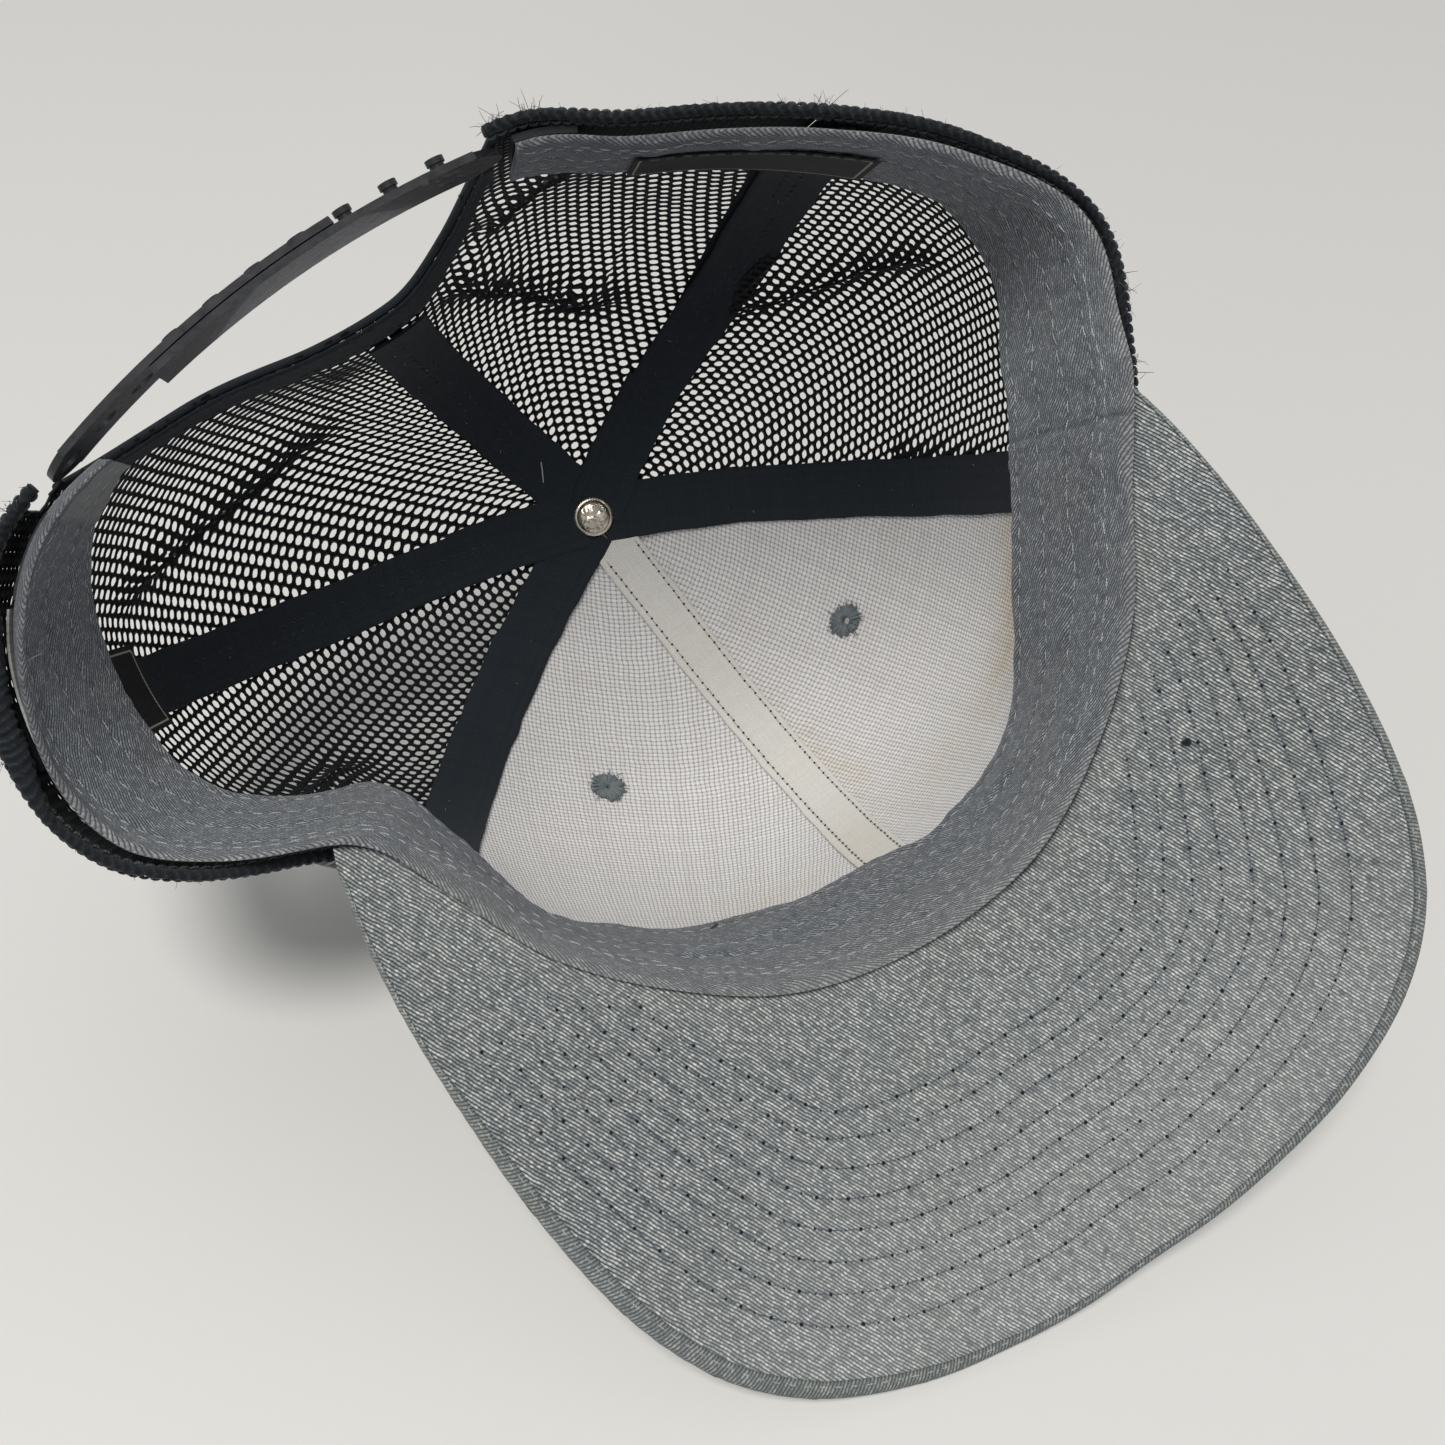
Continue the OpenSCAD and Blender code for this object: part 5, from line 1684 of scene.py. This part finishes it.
def side_label():
    """label standing up from the band's free edge at the left, leaning inwards"""
    height = 13.4

    def place(u, v, d):
        angle = 8 + 10 * u
        edge = band_point(angle, 1)
        rise = height * v
        radius = radius_of(edge) + 0.9 - d - rise * 0.24 - 0.006 * rise**2
        return polar(radius, angle, edge[..., 2] + 0.2 + rise * 0.97)

    part = label(place, 18.0, height)
    part.build("side_label", [LABEL], "care_label", "label_weave", sharp=60, body="care_label")


# ---------------------------------------------------------------- loose fibres
# tufts on the hem: angle, number of hairs
TUFTS = [(106, 26), (148, 18), (188, 22), (196, 16), (372, 14), (OPEN_L + 359, 24), (101, 26)]


def loose_fibres():
    part = Part()

    def hair(root, direction, length, radius, mat=0, bend=0.5):
        s = np.linspace(0, 1, 5)[:, None]
        sway = RNG.normal(0, 1, 3) * length * bend * 0.5
        path = root + direction * length * s + sway * s**2
        tube(part, path, radius * np.linspace(1, 0.5, 5), 3, mat)

    def hem_root(angle, lowest, highest):
        """point in the hem, and the outward normal there"""
        base = base_z(angle)
        root = skin(angle, base, 0.0001, RNG.uniform(-0.5, 2.0))
        root = root + xyz(0, 0, RNG.uniform(lowest, highest))
        return root, skin_normal(angle, base, 0.0001)

    def loose_thread(start, end, sag, radius):
        s = np.linspace(0, 1, 24)[:, None]
        tube(part, start * (1 - s) + end * s + arr(sag) * 4 * s * (1 - s), radius, 5, 1)

    for _ in range(330):
        if RNG.random() < 0.62:
            angle = RNG.uniform(OPEN_R, SEAM[3])
        else:
            angle = RNG.uniform(SEAM[5], 360 + OPEN_L)
        share = float(visor_share(angle))
        root, normal = hem_root(angle, -1.4 + 1.4 * share, 1.5)
        direction = normal * RNG.uniform(0.2, 1)
        direction = direction + xyz(0, 0, -1) * RNG.uniform(0, 1.2 * (1 - share))
        direction = unit(direction + RNG.normal(0, 0.5, 3))
        hair(root, direction, RNG.uniform(0.5, 1.6), RNG.uniform(0.035, 0.06))
    for angle, count in TUFTS:
        for _ in range(count):
            root, normal = hem_root(angle + RNG.normal(0, 0.8), -1.2, 0.5)
            direction = unit(normal * 0.8 + xyz(0, 0, -0.6) + RNG.normal(0, 0.7, 3))
            hair(root, direction, RNG.uniform(1.0, 3.0), RNG.uniform(0.05, 0.09), bend=0.9)
    # lint on the black tapes
    for _ in range(40):
        seam = SEAM[int(RNG.choice([0, 1, 2, 3, 5]))]
        climb = RNG.uniform(0.1, 0.9)
        root = skin(seam + turn(RNG.uniform(-4, 4), 60), 30.0, climb, -TAPE_IN - 0.66)
        hair(root, unit(RNG.normal(0, 1, 3)), RNG.uniform(0.3, 0.8), 0.05, 1)

    loose_thread(skin(79, 60.0, 0.80, -TAPE_IN - 0.8), skin(68, 60.0, 0.86, -TAPE_IN - 0.8),
                 sag=(0, 0, -1.0), radius=0.16)
    loose_thread(band_point(377.5, 0.02, -BAND_T - 0.5), band_point(379.5, 0.30, -BAND_T - 0.6),
                 sag=(0.6, 1.0, -0.4), radius=0.13)
    # small dark loop at the band's free edge
    turned = np.linspace(0, 2 * math.pi * 0.93, 26)[:, None]
    foot = band_point(291.5, 1.0, -0.9)
    along = unit(band_point(292.5, 1.0) - band_point(290.5, 1.0))
    out = unit(foot - xyz(0, BUTTON_Y, foot[2]))
    tube(part, foot + along * (1.6 * np.cos(turned) + 0.4)
         + xyz(0, 0, 1) * (1.5 * np.sin(turned) + 1.6) + out * (0.6 * np.cos(turned)), 0.16)
    part.build("loose_fibres", [DARK_FIBRE, PALE_FIBRE], slot="black_hem")


# ---------------------------------------------------------------- build the cap
for number, side_name in ((3, "right"), (4, "left")):
    front_panel(side_name, SEAM[number], SEAM[number + 1])
    lining(side_name, SEAM[number], SEAM[number + 1])
net_panel("side_mesh_left", SEAM[5], SEAM[0] + 360)
net_panel("side_mesh_right", SEAM[2], SEAM[3])
net_panel("back_mesh_left", SEAM[0], SEAM[1])
net_panel("back_mesh_right", SEAM[1], SEAM[2])
for number, (tape_name, tape_foot) in enumerate(TAPES):
    seam_tape(number, tape_name, tape_foot)
opening_binding()
braided_hem()
sweatband()
band_backing()
visor_covers()
visor_stitching()
visor_piping()
crown_topstitching()
button()
rivet()
eyelet("right", *EYELETS[0], hole=0.95)
eyelet("left", *EYELETS[1], hole=0.55)
band_label()
side_label()
# the straps keep their CAD shape, with a plastic finish
for strap_name in ("snap_strap_pegs", "snap_strap_holes", "peg_strap_sewn_end",
                   "hole_strap_sewn_end"):
    strap = frame["nodes"][strap_name]
    strap.data.materials.clear()
    strap.data.materials.append(PLASTIC)
loose_fibres()

# ---------------------------------------------------------------- camera
# the camera looks up into the cap; place and axes in the cap's frame
CAM_PLACE = arr([36.1, 21.6, -349.2])
CAM_RIGHT = unit(arr([-0.8298, -0.5379, -0.1488]))
CAM_DOWN = unit(arr([0.5529, -0.8285, -0.0890]))
CAM_FORWARD = unit(arr([-0.0754, -0.1561, 0.9849]))
FLOOR_UP = ROW_TURN @ unit(arr([-0.375, 0.735, -0.565]))


def add_camera():
    data = bpy.data.cameras.new("camera")
    data.sensor_width = 36.0
    data.lens = 49.82699
    data.clip_start = 0.01
    camera = bpy.data.objects.new("camera", data)
    bpy.context.scene.collection.objects.link(camera)
    axes = np.stack([ROW_TURN @ CAM_RIGHT, ROW_TURN @ -CAM_DOWN, ROW_TURN @ -CAM_FORWARD], 1)
    left, _, right = np.linalg.svd(axes)  # makes the axes exactly square
    pose = np.eye(4)
    pose[:3, :3] = left @ right
    pose[:3, 3] = ROW_TURN @ CAM_PLACE * 0.001
    camera.matrix_world = Matrix(pose.tolist())
    bpy.context.scene.camera = camera
    return pose[:3, 3]


CAM_AT = add_camera()


# ---------------------------------------------------------------- floors
def floor_mat(name, main):
    """pale floor seen from its front, by the main camera only (main) or by all others only"""
    M = Mat(name)
    geometry = M.make("NewGeometry")
    incoming, position, behind = (
        Value(M, geometry.outputs[key]) for key in ("Incoming", "Position", "Backfacing"))
    ray = M.node("LightPath", output="Ray Length")
    back = M.node("VectorMath", {0: incoming, "Scale": ray}, operation="SCALE")
    origin = M.node("VectorMath", {0: position, 1: back}, operation="ADD")
    ends = {0: origin, 1: CAM_AT.tolist()}
    distance = M.node("VectorMath", ends, "Value", operation="DISTANCE")
    here = M.math("LESS_THAN", distance, 0.03)
    if not main:
        here = 1.0 - here
    show = here * (1.0 - behind)
    coords = M.object_coords()
    broad = M.noise(coords, scale=2.2, detail=3, rough=0.5)
    fine = M.noise(coords, scale=260, detail=2, rough=0.5)
    color = M.mix(broad * 0.75 + fine * 0.25, srgb(233, 231, 226), srgb(238, 237, 233))
    if main:
        # gentle falloff: direction, from and to places along it, brightness at each
        falloff = [(CAM_DOWN, -0.10, 0.10, 0.97, 1.0), (CAM_RIGHT, -0.10, 0.12, 1.0, 0.95)]
        shades = []
        for direction, *span in falloff:
            inputs = {0: position, 1: (ROW_TURN @ direction).tolist()}
            along = M.node("VectorMath", inputs, "Value", operation="DOT_PRODUCT")
            shades.append(M.remap(along, *span))
        color = M.mix(1.0, color, M.comb(*[shades[0] * shades[1]] * 3), "MULTIPLY")
    scuffs = M.remap(M.noise(coords, scale=150, detail=2, rough=0.5), 0.80, 0.84, to_high=0.25)
    color = M.mix(scuffs, color, srgb(150, 146, 140))
    M.done(color, rough=0.75, spec=0.2)
    clear = M.node("BsdfTransparent")
    mixed = M.node("MixShader", {0: show, 1: clear, 2: Value(M, M.bsdf.outputs[0])})
    M.put(M.out.inputs[0], mixed)
    return M.material


def floor(name, origin, up, mat):
    half = 3.0
    mesh = bpy.data.meshes.new(name)
    corners = [(-half, -half, 0), (half, -half, 0), (half, half, 0), (-half, half, 0)]
    mesh.from_pydata(corners, [], [(0, 1, 2, 3)])
    mesh.materials.append(mat)
    item = bpy.data.objects.new(name, mesh)
    bpy.context.scene.collection.objects.link(item)
    facing = Vector(up).normalized().to_track_quat("Z", "Y").to_matrix().to_4x4()
    item.matrix_world = Matrix.Translation(origin) @ facing
    for kind in ("shadow", "diffuse", "glossy", "transmission", "volume_scatter"):
        setattr(item, "visible_" + kind, False)
    item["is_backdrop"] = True
    return item


def all_vertices():
    found = []
    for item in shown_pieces():
        flat = np.zeros(len(item.data.vertices) * 3, np.float32)
        item.data.vertices.foreach_get("co", flat)
        found.append(flat.reshape(-1, 3))
    return np.concatenate(found)


FLOOR_GAP = 0.0002
VERTICES = all_vertices()
lowest_up = float((VERTICES @ FLOOR_UP).min())
MAIN_FLOOR = floor("floor_photo", Vector((FLOOR_UP * (lowest_up - FLOOR_GAP)).tolist()),
                   FLOOR_UP.tolist(), floor_mat("floor_pale_a", True))
floor("floor_upright", Vector((0, 0, float(VERTICES[:, 2].min()) - FLOOR_GAP)), (0, 0, 1),
      floor_mat("floor_pale_b", False))

# ---------------------------------------------------------------- light
world = bpy.data.worlds.new("world")
bpy.context.scene.world = world
world.use_nodes = True
background = world.node_tree.nodes["Background"]
background.inputs["Color"].default_value = (0.955, 0.965, 0.985, 1)
background.inputs["Strength"].default_value = 0.42


def area(name, direction, size, power, color, distance=1.4):
    """soft round light from a direction in the row frame, aimed at the cap"""
    direction = unit(arr(direction))
    data = bpy.data.lights.new(name, "AREA")
    data.shape = "DISK"
    data.size = size
    data.energy = power
    data.color = color
    item = bpy.data.objects.new(name, data)
    bpy.context.scene.collection.objects.link(item)
    item.location = (direction * distance).tolist()
    item.rotation_mode = "QUATERNION"
    item.rotation_quaternion = Vector((-direction).tolist()).to_track_quat("-Z", "Y")
    return item


def limit_light(light, items, state="INCLUDE"):
    """limits a light to some objects, or keeps it off them"""
    group = bpy.data.collections.new("lit_by_" + light.name)
    for item in items:
        group.objects.link(item)
    light.light_linking.receiver_collection = group
    for member in group.collection_objects:
        member.light_linking.link_state = state


def from_camera(right, down, forward):
    return ROW_TURN @ (CAM_RIGHT * right + CAM_DOWN * down + CAM_FORWARD * forward)


key = area("key_photo", from_camera(-0.20, -0.50, -0.84), size=1.6, power=61.0,
           color=(1.0, 0.985, 0.955), distance=3.0)
limit_light(key, [MAIN_FLOOR], "EXCLUDE")
# the floor has its own light, nearly from the camera, so that the shadow lies close round the cap
floor_light = area("floor_light", from_camera(-0.09, -0.30, -0.95), size=0.70, power=58.0,
                   color=(1.0, 0.99, 0.97), distance=3.0)
limit_light(floor_light, [MAIN_FLOOR])
glint = area("rivet_light", from_camera(0.50, -0.55, -0.66), size=0.30, power=5.0,
             color=(1.0, 0.98, 0.95))
limit_light(glint, [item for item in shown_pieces() if item.name.startswith("rivet")])
area("key_upright", (0.35, -0.45, 0.82), size=1.2, power=9.0, color=(1.0, 0.985, 0.96))

view = bpy.context.scene.view_settings
view.view_transform = "Standard"
view.look = "None"
view.exposure = 0.0
view.gamma = 1.0
